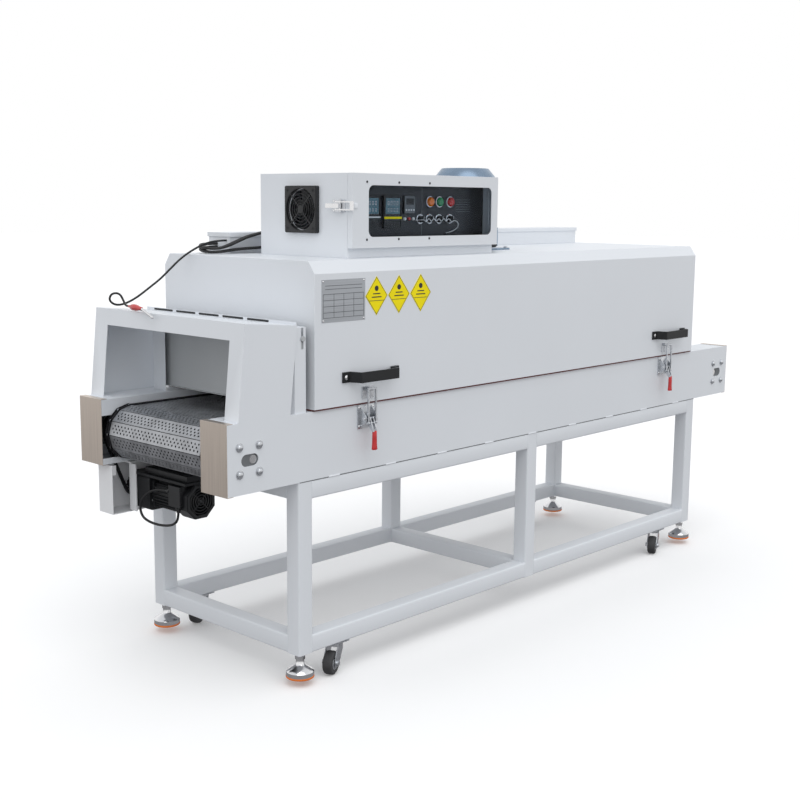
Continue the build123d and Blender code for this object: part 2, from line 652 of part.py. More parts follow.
def clamp(name, x):
    """The base on the side channel, the lever with its grip, and the hook that it pulls."""
    py, pz = CLAMP_PIVOT
    qy, qz = py + HOOK_OFFSET[0], pz + HOOK_OFFSET[1]
    face = -FRAME_WIDTH / 2
    base = block((x - 32, x + 32), (face - 3, face), (661, 727))
    for side in (-1, 1):
        ear = [(face - 3, 664), (face - 3, 722), (py - 6, pz + 8), (py - 6, pz - 8)]
        base += prism_x(ear, x + side * 21.5 - 1.5, x + side * 21.5 + 1.5)
    base -= rod("X", (x, py, pz), 3.05, 80)
    lever = rod("X", (x, py, pz), 3.0, 50)
    for side in (-1, 1):
        arm = [(py + 5, pz + 5), (py + 5, pz - 9), (py - 11, 655), (py - 21, 655),
               (qy - 5, qz), (py - 6, pz + 5)]
        lever += prism_x(arm, x + side * 6 - 1.5, x + side * 6 + 1.5)
    lever += block((x - 4.5, x + 4.5), (py - 21, py - 13), (638, 662))
    lever += rod("X", (x, qy, qz), 2.5, 40)
    lever += prism_y([(x - 7, 640), (x - 6, 618), (x - 10, 605), (x + 10, 605), (x + 6, 618), (x + 7, 640)],
                     py - 24, py - 10)
    keep(f"clamp_lever_{name}", lever)
    hook = block((x - 17, x + 17), (qy - 2.5, qy + 2.5), (770, 775))
    for side in (-1, 1):
        hook += block(tuple(sorted((x + side * 12, x + side * 17))), (qy - 2.5, qy + 2.5), (qz, 775))
        hook += rod("X", (x + side * 14.5, qy, qz), 4.2, 5)
    hook -= rod("X", (x, qy, qz), 2.55, 60)
    keep(f"clamp_hook_{name}", hook)
    return base


def front_plates():
    """A blank rating plate and three plain caution tiles on the hood's front."""
    y = (HOOD_FRONT - 0.8, HOOD_FRONT)
    tiles = [block((-937, -777), y, (960, 1072))]
    for k in range(3):
        x = -733 + 89 * k
        tiles.append(prism_y([(x - 43, 1022), (x, 969), (x + 43, 1022), (x, 1075)], *y))
    keep("front_plates", *tiles)


def cable_trunk():
    """The lidded wiring trunk along the hood's back."""
    body = open_box((-827, 914), (175, 272), (HOOD_TOP, 1168), SHEET, ())
    lid = open_box((-830, 917), (172, 275), (1168, 1181), SHEET, ())
    keep("cable_trunk", body, lid)


# ---------------------------------------------------------------- control cabinet

def control_cabinet():
    """The cabinet's body: open to the front behind the door, with a fan hole at the side."""
    body = open_box(CABINET_X, CABINET_Y, (HOOD_TOP, CABINET_TOP), SHEET, ("-y",))
    low = (CABINET_X[0] + SHEET, CABINET_X[1] - SHEET)
    rim = block(low, (CABINET_Y[0], CABINET_Y[0] + SHEET), (HOOD_TOP, CABINET_TOP))
    rim -= block((low[0] + 18, low[1] - 18), (-300, -200), (DOOR_BOTTOM + 12, CABINET_TOP - 18))
    body += rim
    body -= rod("X", (CABINET_X[0], *CABINET_FAN), 56, 20)
    keep("control_cabinet", body)


def cabinet_door():
    """A pan-shaped door with a rounded window and knuckles on its right edge."""
    y = (CABINET_Y[0] - DOOR_DEPTH, CABINET_Y[0] - 0.5)
    door = open_box(CABINET_X, y, (DOOR_BOTTOM, CABINET_TOP), SHEET, ("+y",))
    cx, cz = (sum(WINDOW_X) / 2, sum(WINDOW_Z) / 2)
    width, height = WINDOW_X[1] - WINDOW_X[0], WINDOW_Z[1] - WINDOW_Z[0]
    outline = Plane.XZ * Pos(cx, cz) * RectangleRounded(width, height, 18)
    door -= extrude(outline, amount=320)
    hinge_x, hinge_y = CABINET_X[1] + 6, CABINET_Y[0] - 3
    fixed = []
    for z in (DOOR_BOTTOM + 35, CABINET_TOP - 35):
        door += block((CABINET_X[1] - 1, hinge_x), (hinge_y - 6, hinge_y - 3), (z - 15, z + 15))
        door += ring("Z", (hinge_x, hinge_y, z), 5, 2.55, 30)
        leaf = block((CABINET_X[1], CABINET_X[1] + 2), (hinge_y + 6, hinge_y + 24), (z - 28, z + 28))
        for side in (-1, 1):
            leaf += rod("Z", (hinge_x, hinge_y, z + side * 22), 5, 12)
            leaf += block((CABINET_X[1], hinge_x), (hinge_y + 2, hinge_y + 9),
                          (z + side * 22 - 6, z + side * 22 + 6))
        leaf += rod("Z", (hinge_x, hinge_y, z), 2.5, 56)
        fixed.append(leaf)
    keeper = block((-772, -758), (y[0] - 3, y[0]), (1256, 1268))
    keep("cabinet_door", door + keeper)
    glass = block((WINDOW_X[0] - 12, WINDOW_X[1] + 12), (y[0] + SHEET, y[0] + SHEET + 3),
                  (WINDOW_Z[0] - 10, WINDOW_Z[1] + 10))
    keep("door_window", glass)
    return fixed


def door_latch():
    """A draw latch beside the door's free edge: two ears, a lever, and the wire strap it pulls."""
    face = CABINET_X[0]
    px, py, z = LATCH_PIVOT
    qx, qy = px + LATCH_OFFSET[0], py + LATCH_OFFSET[1]
    base = block((face - 2, face), (py - 16, py + 34), (z - 16.5, z + 16.5))
    for side in (-1, 1):
        ear_z = (z + side * 15 - 1.5, z + side * 15 + 1.5)
        base += block((px - 4, face), (py - 8, py + 8), ear_z)
    base -= rod("Z", (px, py, z), 2.05, 60)
    lever = rod("Z", (px, py, z), 2.0, 33) + rod("Z", (qx, qy, z), 1.5, 26)
    lever += block((px - 9, px + 2), (py - 3, qy + 3), (z - 6, z + 6))
    lever += block((px - 9, px - 6), (py - 3, py + 48), (z - 6, z + 6))
    keep("door_latch_lever", lever)
    strap_end = CABINET_Y[0] - DOOR_DEPTH - 6
    strap = block((qx - 1.5, face - 1.5), (strap_end, strap_end + 4), (z - 12.5, z + 12.5))
    for side in (-1, 1):
        wire_z = (z + side * 10.5 - 2, z + side * 10.5 + 2)
        strap += block((qx - 1.5, qx + 1.5), (strap_end, qy), wire_z)
        strap += rod("Z", (qx, qy, z + side * 10.5), 3.2, 4)
    strap -= rod("Z", (qx, qy, z), 1.55, 60)
    keep("door_latch_strap", strap)
    return base


def instruments():
    """The inner panel, its controllers, pilot lamps and selector switches."""
    x = (CABINET_X[0] + 10, CABINET_X[1] - 10)
    panel = block(x, (PANEL_Y, PANEL_Y + SHEET), (HOOD_TOP + 6, CABINET_TOP - 8))
    for knob in KNOB_X:
        panel -= rod("Y", (knob, PANEL_Y, KNOB_Z), 4.05, 20)
    parts = [panel]
    for cx in CONTROLLER_X:
        parts.append(block((cx - 36, cx + 36), (PANEL_Y - 9, PANEL_Y), (1200, 1292)))
    parts.append(block((-524, -476), (PANEL_Y - 8, PANEL_Y), (1240, 1292)))
    for k in range(3):
        parts.append(rod("Y", (-518 + 18 * k, PANEL_Y - 3, 1226), 5, 6))
    for cx in KNOB_X:
        parts.append(ring("Y", (cx, PANEL_Y - 2.5, KNOB_Z), 15, 11, 5))
    parts += [rod("Y", (cx, PANEL_Y - 3, LAMP_Z), 17, 6) + lamp_lens(cx) for cx in LAMP_X]
    keep("instrument_panel", *parts)
    for number, cx in enumerate(KNOB_X, 1):
        knob = rod("Y", (cx, PANEL_Y - 8, KNOB_Z), KNOB_RADIUS, 12)
        knob += block((cx - 3, cx + 3), (PANEL_Y - 19, PANEL_Y - 10), (KNOB_Z - 9, KNOB_Z + 9))
        knob += rod("Y", (cx, PANEL_Y + 2, KNOB_Z), 4.0, 20)
        keep(f"selector_knob_{number}", knob)


def lamp_lens(cx):
    return Pos(cx, PANEL_Y - 11, LAMP_Z) * Rot(90, 0, 0) * Cone(14, 10, 10)


def cabinet_fan():
    """The ring guard outside the cabinet's side and the fan wheel behind it."""
    y, z = CABINET_FAN
    x = CABINET_X[0]
    frame = block((x - 12, x), (y - 65, y + 65), (z - 65, z + 65))
    frame -= rod("X", (x - 4, y, z), 58, 14)
    for radius in (20, 34, 48):
        frame += ring("X", (x - 10, y, z), radius, radius - 4, 3)
    for turn in (45, 135):
        bar = Pos(x - 10, y, z) * Rot(turn, 0, 0) * Box(3, 122, 5)
        frame += bar
    motor_mount = Pos(x - 10, y, z) * Rot(0, 90, 0) * Cylinder(14, 3)
    frame += motor_mount
    frame += rod("X", (x + 6, y, z), 3.0, 30)
    wheel = rod("X", (x + 8, y, z), 18, 16) - rod("X", (x + 8, y, z), 3.05, 40)
    for k in range(7):
        blade = Rot(k * 360 / 7, 0, 0) * Pos(0, 0, 33) * Rot(0, 0, 32) * Box(2, 22, 34)
        wheel += Pos(x + 8, y, z) * blade
    keep("cabinet_fan_guard", frame)
    keep("cabinet_fan_wheel", wheel)


# ---------------------------------------------------------------- cables

SENSOR_ROUTE = [
    (-827, 190, 1158), (-858, 190, 1158), (-908, 188, 1151), (-960, 184, 1131), (-1000, 185, 1108),
    (-1034, 190, 1078), (-1060, 198, 1053), (-1090, 206, 1031), (-1123, 218, 1005),
    (-1154, 232, 987), (-1180, 242, 984), (-1199, 244, 999), (-1193, 239, 1018), (-1172, 231, 1018),
    (-1166, 222, 998), (-1171.5, 205, 985.4), (-1176, 182, 985),
]
MOTOR_LEAD_ROUTE = [
    (-1169, 24, 490), (-1169, 58, 490), (-1173, 98, 482), (-1177, 134, 460), (-1178, 153, 428),
    (-1176, 146, 400), (-1173, 120, 389), (-1170, 84, 386), (-1168, 48, 389), (-1168, 12, 398),
    (-1169, -14, 418), (-1169, -14, 449.9),
]
CONDUIT_ROUTE = [
    (-153, -222, 1143), (-93, -222, 1143), (-66, -206, 1143), (-50, -179, 1143), (-50, -148, 1143),
]
# Middle line of the bundle: x, y, z, then the two parts of the sideways step, then the spread.
BUNDLE_ROUTE = [
    (-690, 95, 1164, -1, 0, 24), (-690, 134, 1164, -1, -0.41, 24), (-711, 155, 1160, -0.41, -1, 22),
    (-744, 155, 1156, 0, -1, 20), (-785, 154, 1151, 0, -1, 16), (-818, 155, 1144, 0, -1, 11),
    (-848, 158, 1137, 0, -1, 7), (-877, 158, 1132, -0.41, -1, 5), (-900, 181, 1131, -1, -0.41, 5),
    (-900, 215, 1136, -1, 0.41, 5), (-877, 238, 1143, -0.41, 1, 5), (-827, 238, 1143, 0, 1, 5),
]
STRAND_STEP = 5.0
BOOT_RUN = (-16.0, -82.0, -1.0)
TIP_RUN = (-13.0, -70.0, -19.0)


def strand_route(side, level):
    """One strand of the bundle, beside and above its middle line."""
    step = side * STRAND_STEP
    return [(x + across_x * step, y + across_y * step, z + level * spread)
            for x, y, z, across_x, across_y, spread in BUNDLE_ROUTE]


def cables():
    wiring = [cord_tube(f"strand {side} {level}", strand_route(side, level), 8.0)
              for side in (-1, 1) for level in (-1, 1)]
    wiring.append(cord_tube("fan conduit", CONDUIT_ROUTE, 16.0))
    keep("hood_wiring", *wiring)
    keep("sensor_lead", cord_tube("sensor lead", SENSOR_ROUTE, 6.0))
    keep("gearmotor_lead", cord_tube("gearmotor lead", MOTOR_LEAD_ROUTE, 7.0))
    start = Vector(*SENSOR_ROUTE[-1])
    heading = Plane(origin=start, z_dir=Vector(*BOOT_RUN))
    boot = heading * Pos(0, 0, 42) * Cylinder(9, 84)
    tip_plane = Plane(origin=start + heading.z_dir * 84, z_dir=Vector(*TIP_RUN))
    tip = tip_plane * Pos(0, 0, 37) * Cylinder(3.5, 74)
    keep("sensor_probe", boot + tip)


# ---------------------------------------------------------------- assembly

def build():
    keep("stand_frame", *frame_legs(), *frame_rails())
    levelling_feet()
    keep("side_channels", side_channel(-1), side_channel(1))
    end_caps()
    conveyor_belt()
    chamber_tray()
    shaft_bearings()
    drive()
    entry_hood()
    tunnel_collar()
    entry_gate()
    hood_gasket()
    hood_shells()
    hood_lining()
    heating()
    circulation_fan()
    hinges = [hinge_pair(x) for x in HINGE_X]
    clamps = [clamp(name, x) for name, x in zip(("near", "far"), CLAMP_X)]
    keep("stand_fittings", *caster_parts(), *clamps, *[fixed for fixed, _ in hinges])
    door_fittings = cabinet_door()
    keep("hood_fittings", *[moving for _, moving in hinges], *[clamp_catch(x) for x in CLAMP_X],
         *door_fittings, door_latch())
    keep("hood_handles", *[hood_handle(x) for x in HANDLE_X])
    front_plates()
    cable_trunk()
    control_cabinet()
    instruments()
    cabinet_fan()
    cables()


build()
os.makedirs("parts", exist_ok=True)
for name, solids in nodes.items():
    shape = solids[0] if len(solids) == 1 else Compound(children=solids)
    export_step(shape, f"parts/{name}.step")
print(len(nodes), "nodes")
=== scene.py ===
import json
from math import acos, atan2, cos, pi, radians, sin, tan

import bmesh
import bpy
from mathutils import Matrix, Quaternion, Vector


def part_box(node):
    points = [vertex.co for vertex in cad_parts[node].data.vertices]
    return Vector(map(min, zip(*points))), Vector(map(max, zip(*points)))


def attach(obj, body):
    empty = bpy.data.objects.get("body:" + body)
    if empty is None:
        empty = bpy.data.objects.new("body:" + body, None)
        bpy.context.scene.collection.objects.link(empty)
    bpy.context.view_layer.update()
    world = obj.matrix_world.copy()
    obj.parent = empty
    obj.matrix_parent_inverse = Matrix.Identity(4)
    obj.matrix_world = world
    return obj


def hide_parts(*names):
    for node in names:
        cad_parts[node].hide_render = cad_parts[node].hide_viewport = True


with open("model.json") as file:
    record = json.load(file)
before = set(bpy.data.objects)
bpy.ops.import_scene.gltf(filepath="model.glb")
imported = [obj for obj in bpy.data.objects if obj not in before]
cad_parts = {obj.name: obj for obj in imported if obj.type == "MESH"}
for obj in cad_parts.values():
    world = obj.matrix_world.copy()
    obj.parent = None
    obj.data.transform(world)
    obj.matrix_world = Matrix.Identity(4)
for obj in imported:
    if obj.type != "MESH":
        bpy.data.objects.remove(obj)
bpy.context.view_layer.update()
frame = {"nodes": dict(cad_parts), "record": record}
scene = bpy.context.scene
MID_Y = sum(corner[1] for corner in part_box("side_channels")) / 2
WHEEL_DROP = 20.0
FEET_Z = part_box("stand_frame")[0][2] - 0.068
TO_ROW = Matrix.Translation((0, MID_Y, FEET_Z)) @ Matrix.Scale(0.001, 4)


def at(x, y, z):
    """A point of the conveyor's own frame, in millimetres, as one of the row frame, in metres."""
    return TO_ROW @ Vector((x, y, z))


# ---------------------------------------------------------------- camera

camera = bpy.data.objects.new("camera", bpy.data.cameras.new("camera"))
scene.collection.objects.link(camera)
VIEW = Vector((0.72128, 0.67402, -0.15955))
camera.location = at(-3113.8, -2648.8, 1272.4)
camera.rotation_mode = "QUATERNION"
camera.rotation_quaternion = VIEW.to_track_quat("-Z", "Y") @ Quaternion((0, 0, 1), radians(0.5))
camera.data.lens = 55.02
camera.data.sensor_width = 36.0
camera.data.clip_end = 100.0
scene.camera = camera


# ---------------------------------------------------------------- materials

def finish(name, colour, rough, metal=0.0, vary=0.04, blotch=5.0, bump=0.1, grain=700.0,
           stretch=(1, 1, 1), coat=0.0, specular=0.5):
    """A surface with soft changes of tone and gloss, and a fine relief."""
    m = bpy.data.materials.new(name)
    m.use_nodes = True
    nodes, links = m.node_tree.nodes, m.node_tree.links
    shader = nodes["Principled BSDF"]
    shader.inputs["Metallic"].default_value = metal
    shader.inputs["Coat Weight"].default_value = coat
    shader.inputs["Specular IOR Level"].default_value = specular
    coords = nodes.new("ShaderNodeTexCoord")
    mapping = nodes.new("ShaderNodeMapping")
    mapping.inputs["Scale"].default_value = stretch
    links.new(coords.outputs["Object"], mapping.inputs["Vector"])
    large = nodes.new("ShaderNodeTexNoise")
    large.inputs["Scale"].default_value = blotch
    large.inputs["Detail"].default_value = 6.0
    links.new(mapping.outputs["Vector"], large.inputs["Vector"])
    tone = nodes.new("ShaderNodeValToRGB")
    tone.color_ramp.elements[0].position = 0.3
    tone.color_ramp.elements[1].position = 0.7
    tone.color_ramp.elements[0].color = (*[c * (1 - vary) for c in colour], 1)
    tone.color_ramp.elements[1].color = (*[min(1, c * (1 + vary)) for c in colour], 1)
    links.new(large.outputs["Fac"], tone.inputs["Fac"])
    links.new(tone.outputs["Color"], shader.inputs["Base Color"])
    gloss = nodes.new("ShaderNodeMapRange")
    gloss.inputs["To Min"].default_value = max(0.02, rough - 0.06)
    gloss.inputs["To Max"].default_value = min(1.0, rough + 0.06)
    links.new(large.outputs["Fac"], gloss.inputs["Value"])
    links.new(gloss.outputs["Result"], shader.inputs["Roughness"])
    fine = nodes.new("ShaderNodeTexNoise")
    fine.inputs["Scale"].default_value = grain
    fine.inputs["Detail"].default_value = 2.0
    links.new(mapping.outputs["Vector"], fine.inputs["Vector"])
    relief = nodes.new("ShaderNodeBump")
    relief.inputs["Strength"].default_value = bump
    relief.inputs["Distance"].default_value = 0.0005
    links.new(fine.outputs["Fac"], relief.inputs["Height"])
    links.new(relief.outputs["Normal"], shader.inputs["Normal"])
    return m


def glass(name, colour, rough):
    m = finish(name, colour, rough, vary=0.02, bump=0.0)
    m.node_tree.nodes["Principled BSDF"].inputs["Transmission Weight"].default_value = 1.0
    m.node_tree.nodes["Principled BSDF"].inputs["IOR"].default_value = 1.1
    return m


def punched(name, colour, pitch_x, pitch_y):
    """Plate steel with rows of holes, painted near-black for the shade seen through them, for slats that are
    only seen from far off.
    """
    m = finish(name, colour, 0.4, metal=0.9, vary=0.12, blotch=30.0)
    nodes, links = m.node_tree.nodes, m.node_tree.links

    def maths(operation, *values):
        node = nodes.new("ShaderNodeMath")
        node.operation = operation
        for socket, value in zip(node.inputs, values):
            if isinstance(value, (int, float)):
                socket.default_value = value
            else:
                links.new(value, socket)
        return node.outputs[0]

    coords = nodes.new("ShaderNodeTexCoord")
    parts = nodes.new("ShaderNodeSeparateXYZ")
    links.new(coords.outputs["Object"], parts.inputs["Vector"])
    along = maths("ADD", maths("DIVIDE", parts.outputs[0], pitch_x), 0.5)
    along = maths("MULTIPLY", maths("SUBTRACT", maths("FRACT", along), 0.5), pitch_x)
    holes = None
    for offset, shift in ((-0.009, 0.0), (0.0, 0.5), (0.009, 0.0)):
        across = maths("ADD", maths("DIVIDE", parts.outputs[1], pitch_y), shift)
        across = maths("MULTIPLY", maths("SUBTRACT", maths("FRACT", across), 0.5), pitch_y)
        dx = maths("SUBTRACT", along, offset)
        away = maths("ADD", maths("MULTIPLY", dx, dx), maths("MULTIPLY", across, across))
        inside = maths("LESS_THAN", away, 0.0032 ** 2)
        holes = inside if holes is None else maths("MAXIMUM", holes, inside)
    shader = nodes["Principled BSDF"]
    tone = shader.inputs["Base Color"].links[0].from_socket
    # Painted shade: the holes are painted near-black for the shade seen through them.
    mix = nodes.new("ShaderNodeMix")
    mix.data_type = "RGBA"
    links.new(holes, mix.inputs["Factor"])
    links.new(tone, mix.inputs[6])
    mix.inputs[7].default_value = (0.01, 0.01, 0.01, 1)
    links.new(mix.outputs[2], shader.inputs["Base Color"])
    return m


BRUSHED_Z = (420, 420, 4)
BRUSHED_X = (4, 420, 420)
# Each finish: its colour, its roughness, and what else sets it apart.
SURFACES = {
    "powder_white": ((0.755, 0.785, 0.825), 0.42, dict(vary=0.012, blotch=3.0, bump=0.12, grain=900)),
    "gate_grey": ((0.46, 0.48, 0.495), 0.45, dict(vary=0.03, bump=0.1)),
    "end_stainless": ((0.66, 0.58, 0.51), 0.36, dict(metal=1.0, vary=0.10, blotch=1.0, bump=0.25, grain=3.0,
        stretch=BRUSHED_Z)),
    "belt_steel": ((0.40, 0.41, 0.43), 0.38, dict(metal=0.85, vary=0.16, blotch=28, bump=0.2)),
    "zinc": ((0.62, 0.64, 0.67), 0.28, dict(metal=1.0, vary=0.10, blotch=60, bump=0.12)),
    "bright_steel": ((0.78, 0.78, 0.79), 0.16, dict(metal=1.0, vary=0.05, blotch=30, bump=0.04)),
    "chain_steel": ((0.055, 0.055, 0.06), 0.38, dict(metal=0.7, vary=0.35, blotch=80, bump=0.2)),
    "black_paint": ((0.014, 0.015, 0.017), 0.45, dict(vary=0.2, blotch=20, bump=0.25, grain=1200,
        specular=0.3)),
    "black_plastic": ((0.010, 0.011, 0.013), 0.40, dict(vary=0.2, blotch=20, bump=0.15, grain=1500)),
    "liner_steel": ((0.50, 0.50, 0.49), 0.42, dict(metal=0.9, vary=0.15, blotch=9, bump=0.15)),
    "insulation_wool": ((0.72, 0.66, 0.48), 0.95, dict(vary=0.2, blotch=40, bump=0.9, grain=300)),
    "gasket_red": ((0.11, 0.014, 0.012), 0.75, dict(vary=0.25, blotch=40, bump=0.3)),
    "quartz": ((0.72, 0.68, 0.62), 0.2, dict(vary=0.06, blotch=30, bump=0.05, coat=0.6)),
    "label_yellow": ((0.96, 0.80, 0.0), 0.45, dict(vary=0.05, blotch=30, bump=0.05, specular=0.2)),
    "label_silver": ((0.42, 0.44, 0.47), 0.34, dict(metal=0.8, vary=0.08, blotch=1, bump=0.2, grain=3.0,
        stretch=BRUSHED_X)),
    "motor_blue_grey": ((0.22, 0.30, 0.40), 0.28, dict(metal=0.6, vary=0.1, blotch=12, bump=0.15)),
    "panel_white": ((0.80, 0.81, 0.83), 0.45, dict(vary=0.03, bump=0.1)),
    "cable_black": ((0.008, 0.008, 0.009), 0.45, dict(vary=0.25, blotch=60, bump=0.1)),
    "tyre_grey": ((0.045, 0.045, 0.048), 0.7, dict(vary=0.2, blotch=50, bump=0.3)),
    "red_grip": ((0.55, 0.012, 0.015), 0.32, dict(vary=0.1, blotch=60, bump=0.12, coat=0.3)),
    "orange_pad": ((0.72, 0.17, 0.02), 0.6, dict(vary=0.12, blotch=40, bump=0.3)),
    "display_blue": ((0.07, 0.16, 0.20), 0.15, dict(vary=0.2, blotch=60, bump=0.0, coat=0.5)),
    "lamp_orange": ((0.90, 0.20, 0.01), 0.18, dict(vary=0.12, blotch=60, bump=0.05, coat=0.8)),
    "lamp_green": ((0.0, 0.28, 0.08), 0.18, dict(vary=0.12, blotch=60, bump=0.05, coat=0.8)),
    "lamp_red": ((0.62, 0.004, 0.006), 0.18, dict(vary=0.12, blotch=60, bump=0.05, coat=0.8)),
    "white_plastic": ((0.78, 0.78, 0.78), 0.35, dict(vary=0.03, blotch=30, bump=0.05)),
}
FINISHES = {name: finish(name, colour, rough, **rest) for name, (colour, rough, rest) in SURFACES.items()}
FINISHES["tinted_window"] = glass("tinted_window", (0.68, 0.73, 0.78), 0.03)
DARK_PANEL = finish("dark_panel", (0.014, 0.016, 0.022), 0.35, vary=0.1, blotch=14, bump=0.1)
# A dark grey for the rating plate's ruled print and the speed controller's face, also used as painted shade
# in seams, slots and on the bearing blocks.
GREY_AND_PAINTED_SHADE = finish("grey_and_painted_shade", (0.16, 0.17, 0.18), 0.7, vary=0.1, blotch=30, bump=0.1)
PUNCHED = punched("punched_steel", (0.36, 0.37, 0.39), 0.0381, 0.0155)
slot_of = {s["node"]: s["material_slot"] for s in frame["record"]["subparts"]}
for node, piece in frame["nodes"].items():
    for holder in piece.material_slots:
        holder.material = FINISHES[slot_of[node]]
body_of_node = {n: body for body, names in frame["record"]["behaviour"]["bodies"].items() for n in names}


# ---------------------------------------------------------------- building pieces

def rounded(width, height, radius, steps=4, centre=(0, 0)):
    """The outline of a rectangle with round corners."""
    points = []
    for k, (sx, sy) in enumerate(((1, 1), (-1, 1), (-1, -1), (1, -1))):
        cx = centre[0] + sx * (width / 2 - radius)
        cy = centre[1] + sy * (height / 2 - radius)
        for i in range(steps + 1):
            a = radians(90 * k + 90 * i / steps)
            points.append((cx + radius * cos(a), cy + radius * sin(a)))
    return points


def circle(radius, sides, centre=(0, 0), turn=0.0):
    return [(centre[0] + radius * cos(turn + 2 * pi * k / sides),
             centre[1] + radius * sin(turn + 2 * pi * k / sides)) for k in range(sides)]


def on_axis(axis, u, v, w):
    """u and v across the axis, w along it: for X they are Y and Z, for Y they are X and Z."""
    if axis == "X":
        return (w, u, v)
    if axis == "Y":
        return (u, w, v)
    return (u, v, w)


class Shape:
    """A mesh of simple solids, in millimetres in the conveyor's own frame."""

    def __init__(self):
        self.bm = bmesh.new()
        self.place = Matrix.Identity(4)

    def put(self, points, faces):
        verts = [self.bm.verts.new(self.place @ Vector(p)) for p in points]
        for face in faces:
            self.bm.faces.new([verts[k] for k in face])

    def box(self, x, y, z):
        points = [(a, b, c) for a in x for b in y for c in z]
        self.put(points, [(0, 1, 3, 2), (4, 6, 7, 5), (0, 4, 5, 1), (2, 3, 7, 6), (0, 2, 6, 4), (1, 5, 7, 3)])
        return self

    def prism(self, axis, outline, low, high):
        n = len(outline)
        points = [on_axis(axis, u, v, w) for w in (low, high) for u, v in outline]
        sides = [(k, (k + 1) % n, n + (k + 1) % n, n + k) for k in range(n)]
        self.put(points, sides + [tuple(range(n)), tuple(range(n, 2 * n))])
        return self

    def frame(self, axis, outer, inner, low, high):
        """A band between two outlines that have as many points each."""
        n = len(outer)
        points = [on_axis(axis, u, v, w) for w in (low, high) for ring in (outer, inner) for u, v in ring]
        faces = []
        for k in range(n):
            j = (k + 1) % n
            faces += [(k, j, n + j, n + k), (2 * n + k, 2 * n + j, 3 * n + j, 3 * n + k),
                      (k, j, 2 * n + j, 2 * n + k), (n + k, n + j, 3 * n + j, 3 * n + k)]
        self.put(points, faces)
        return self

    def lathe(self, axis, centre, profile, sides=32, closed=False):
        """A profile of (radius, height) pairs turned round the axis through the centre."""
        cu, cv, cw = {"X": (1, 2, 0), "Y": (0, 2, 1), "Z": (0, 1, 2)}[axis]
        points, rings = [], []
        for radius, height in profile:
            if radius == 0:
                rings.append([len(points)])
                points.append(on_axis(axis, centre[cu], centre[cv], centre[cw] + height))
                continue
            rings.append(list(range(len(points), len(points) + sides)))
            points += [on_axis(axis, centre[cu] + u, centre[cv] + v, centre[cw] + height)
                       for u, v in circle(radius, sides)]
        faces = []
        pairs = list(zip(rings, rings[1:])) + ([(rings[-1], rings[0])] if closed else [])
        for a, b in pairs:
            for k in range(sides):
                j = (k + 1) % sides
                if len(a) == 1 and len(b) > 1:
                    faces.append((a[0], b[k], b[j]))
                elif len(b) == 1 and len(a) > 1:
                    faces.append((a[k], a[j], b[0]))
                elif len(a) > 1:
                    faces.append((a[k], a[j], b[j], b[k]))
        self.put(points, faces)
        return self

    def skin(self, rows, capped=True):
        """A tube of quads through rows that have as many points each."""
        n = len(rows[0])
        faces = [(r * n + k, r * n + (k + 1) % n, (r + 1) * n + (k + 1) % n, (r + 1) * n + k)
                 for r in range(len(rows) - 1) for k in range(n)]
        if capped:
            faces += [tuple(range(n)), tuple(range((len(rows) - 1) * n, len(rows) * n))]
        self.put([point for row in rows for point in row], faces)
        return self

    def rod(self, axis, centre, radius, length, edge=0.4, sides=24):
        h = length / 2
        return self.lathe(axis, centre, [(0, -h), (radius - edge, -h), (radius, edge - h),
                                         (radius, h - edge), (radius - edge, h), (0, h)], sides)

    def torus(self, axis, centre, major, minor, sides=40, around=10):
        profile = [(major + minor * cos(2 * pi * k / around), minor * sin(2 * pi * k / around))
                   for k in range(around)]
        return self.lathe(axis, centre, profile, sides, closed=True)

    def done(self, name, body, slot, material=None, bevel=0.0, smooth=35, replaces=()):
        """The finished piece, riding on its body."""
        bmesh.ops.transform(self.bm, matrix=TO_ROW, verts=self.bm.verts)
        bmesh.ops.recalc_face_normals(self.bm, faces=self.bm.faces)
        mesh = bpy.data.meshes.new(name)
        self.bm.to_mesh(mesh)
        self.bm.free()
        return dress(name, mesh, body, slot, material, bevel, smooth, replaces)


def dress(name, mesh, body, slot, material=None, bevel=0.0, smooth=35, replaces=()):
    piece = bpy.data.objects.new(name, mesh)
    scene.collection.objects.link(piece)
    mesh.materials.clear()
    mesh.materials.append(material or FINISHES[slot])
    mesh.polygons.foreach_set("use_smooth", [True] * len(mesh.polygons))
    mesh.set_sharp_from_angle(angle=radians(smooth))
    if bevel:
        rounding = piece.modifiers.new("rounding", "BEVEL")
        rounding.width = bevel / 1000
        rounding.segments = 2
        rounding.limit_method = "ANGLE"
        rounding.angle_limit = radians(40)
        rounding.harden_normals = True
    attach(piece, body)
    if replaces:
        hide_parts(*replaces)
    return piece


def eased(node, bevel):
    """A CAD node's own mesh with its edges eased, as folded and painted sheet has them."""
    mesh = frame["nodes"][node].data.copy()
    slot = slot_of[node]
    bm = bmesh.new()
    bm.from_mesh(mesh)
    bmesh.ops.remove_doubles(bm, verts=bm.verts, dist=0.00001)
    bmesh.ops.dissolve_limit(bm, angle_limit=radians(1), verts=bm.verts, edges=bm.edges)
    bm.to_mesh(mesh)
    bm.free()
    return dress(f"{node}.eased", mesh, body_of_node[node], slot, bevel=bevel, replaces=(node,))


def cable(name, points, diameter, body, slot="cable_black", replaces=()):
    """A cable along a smooth line that the points steer."""
    curve = bpy.data.curves.new(name, "CURVE")
    curve.dimensions = "3D"
    curve.bevel_depth = diameter / 2000
    curve.bevel_resolution = 5
    curve.use_fill_caps = True
    line = curve.splines.new("NURBS")
    line.points.add(len(points) - 1)
    for point, place in zip(line.points, points):
        point.co = (*at(*place), 1)
    line.order_u = 3
    line.use_endpoint_u = True
    line.resolution_u = 12
    piece = bpy.data.objects.new(name, curve)
    scene.collection.objects.link(piece)
    curve.materials.append(FINISHES[slot])
    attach(piece, body)
    if replaces:
        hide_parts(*replaces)
    return piece


# ---------------------------------------------------------------- cables

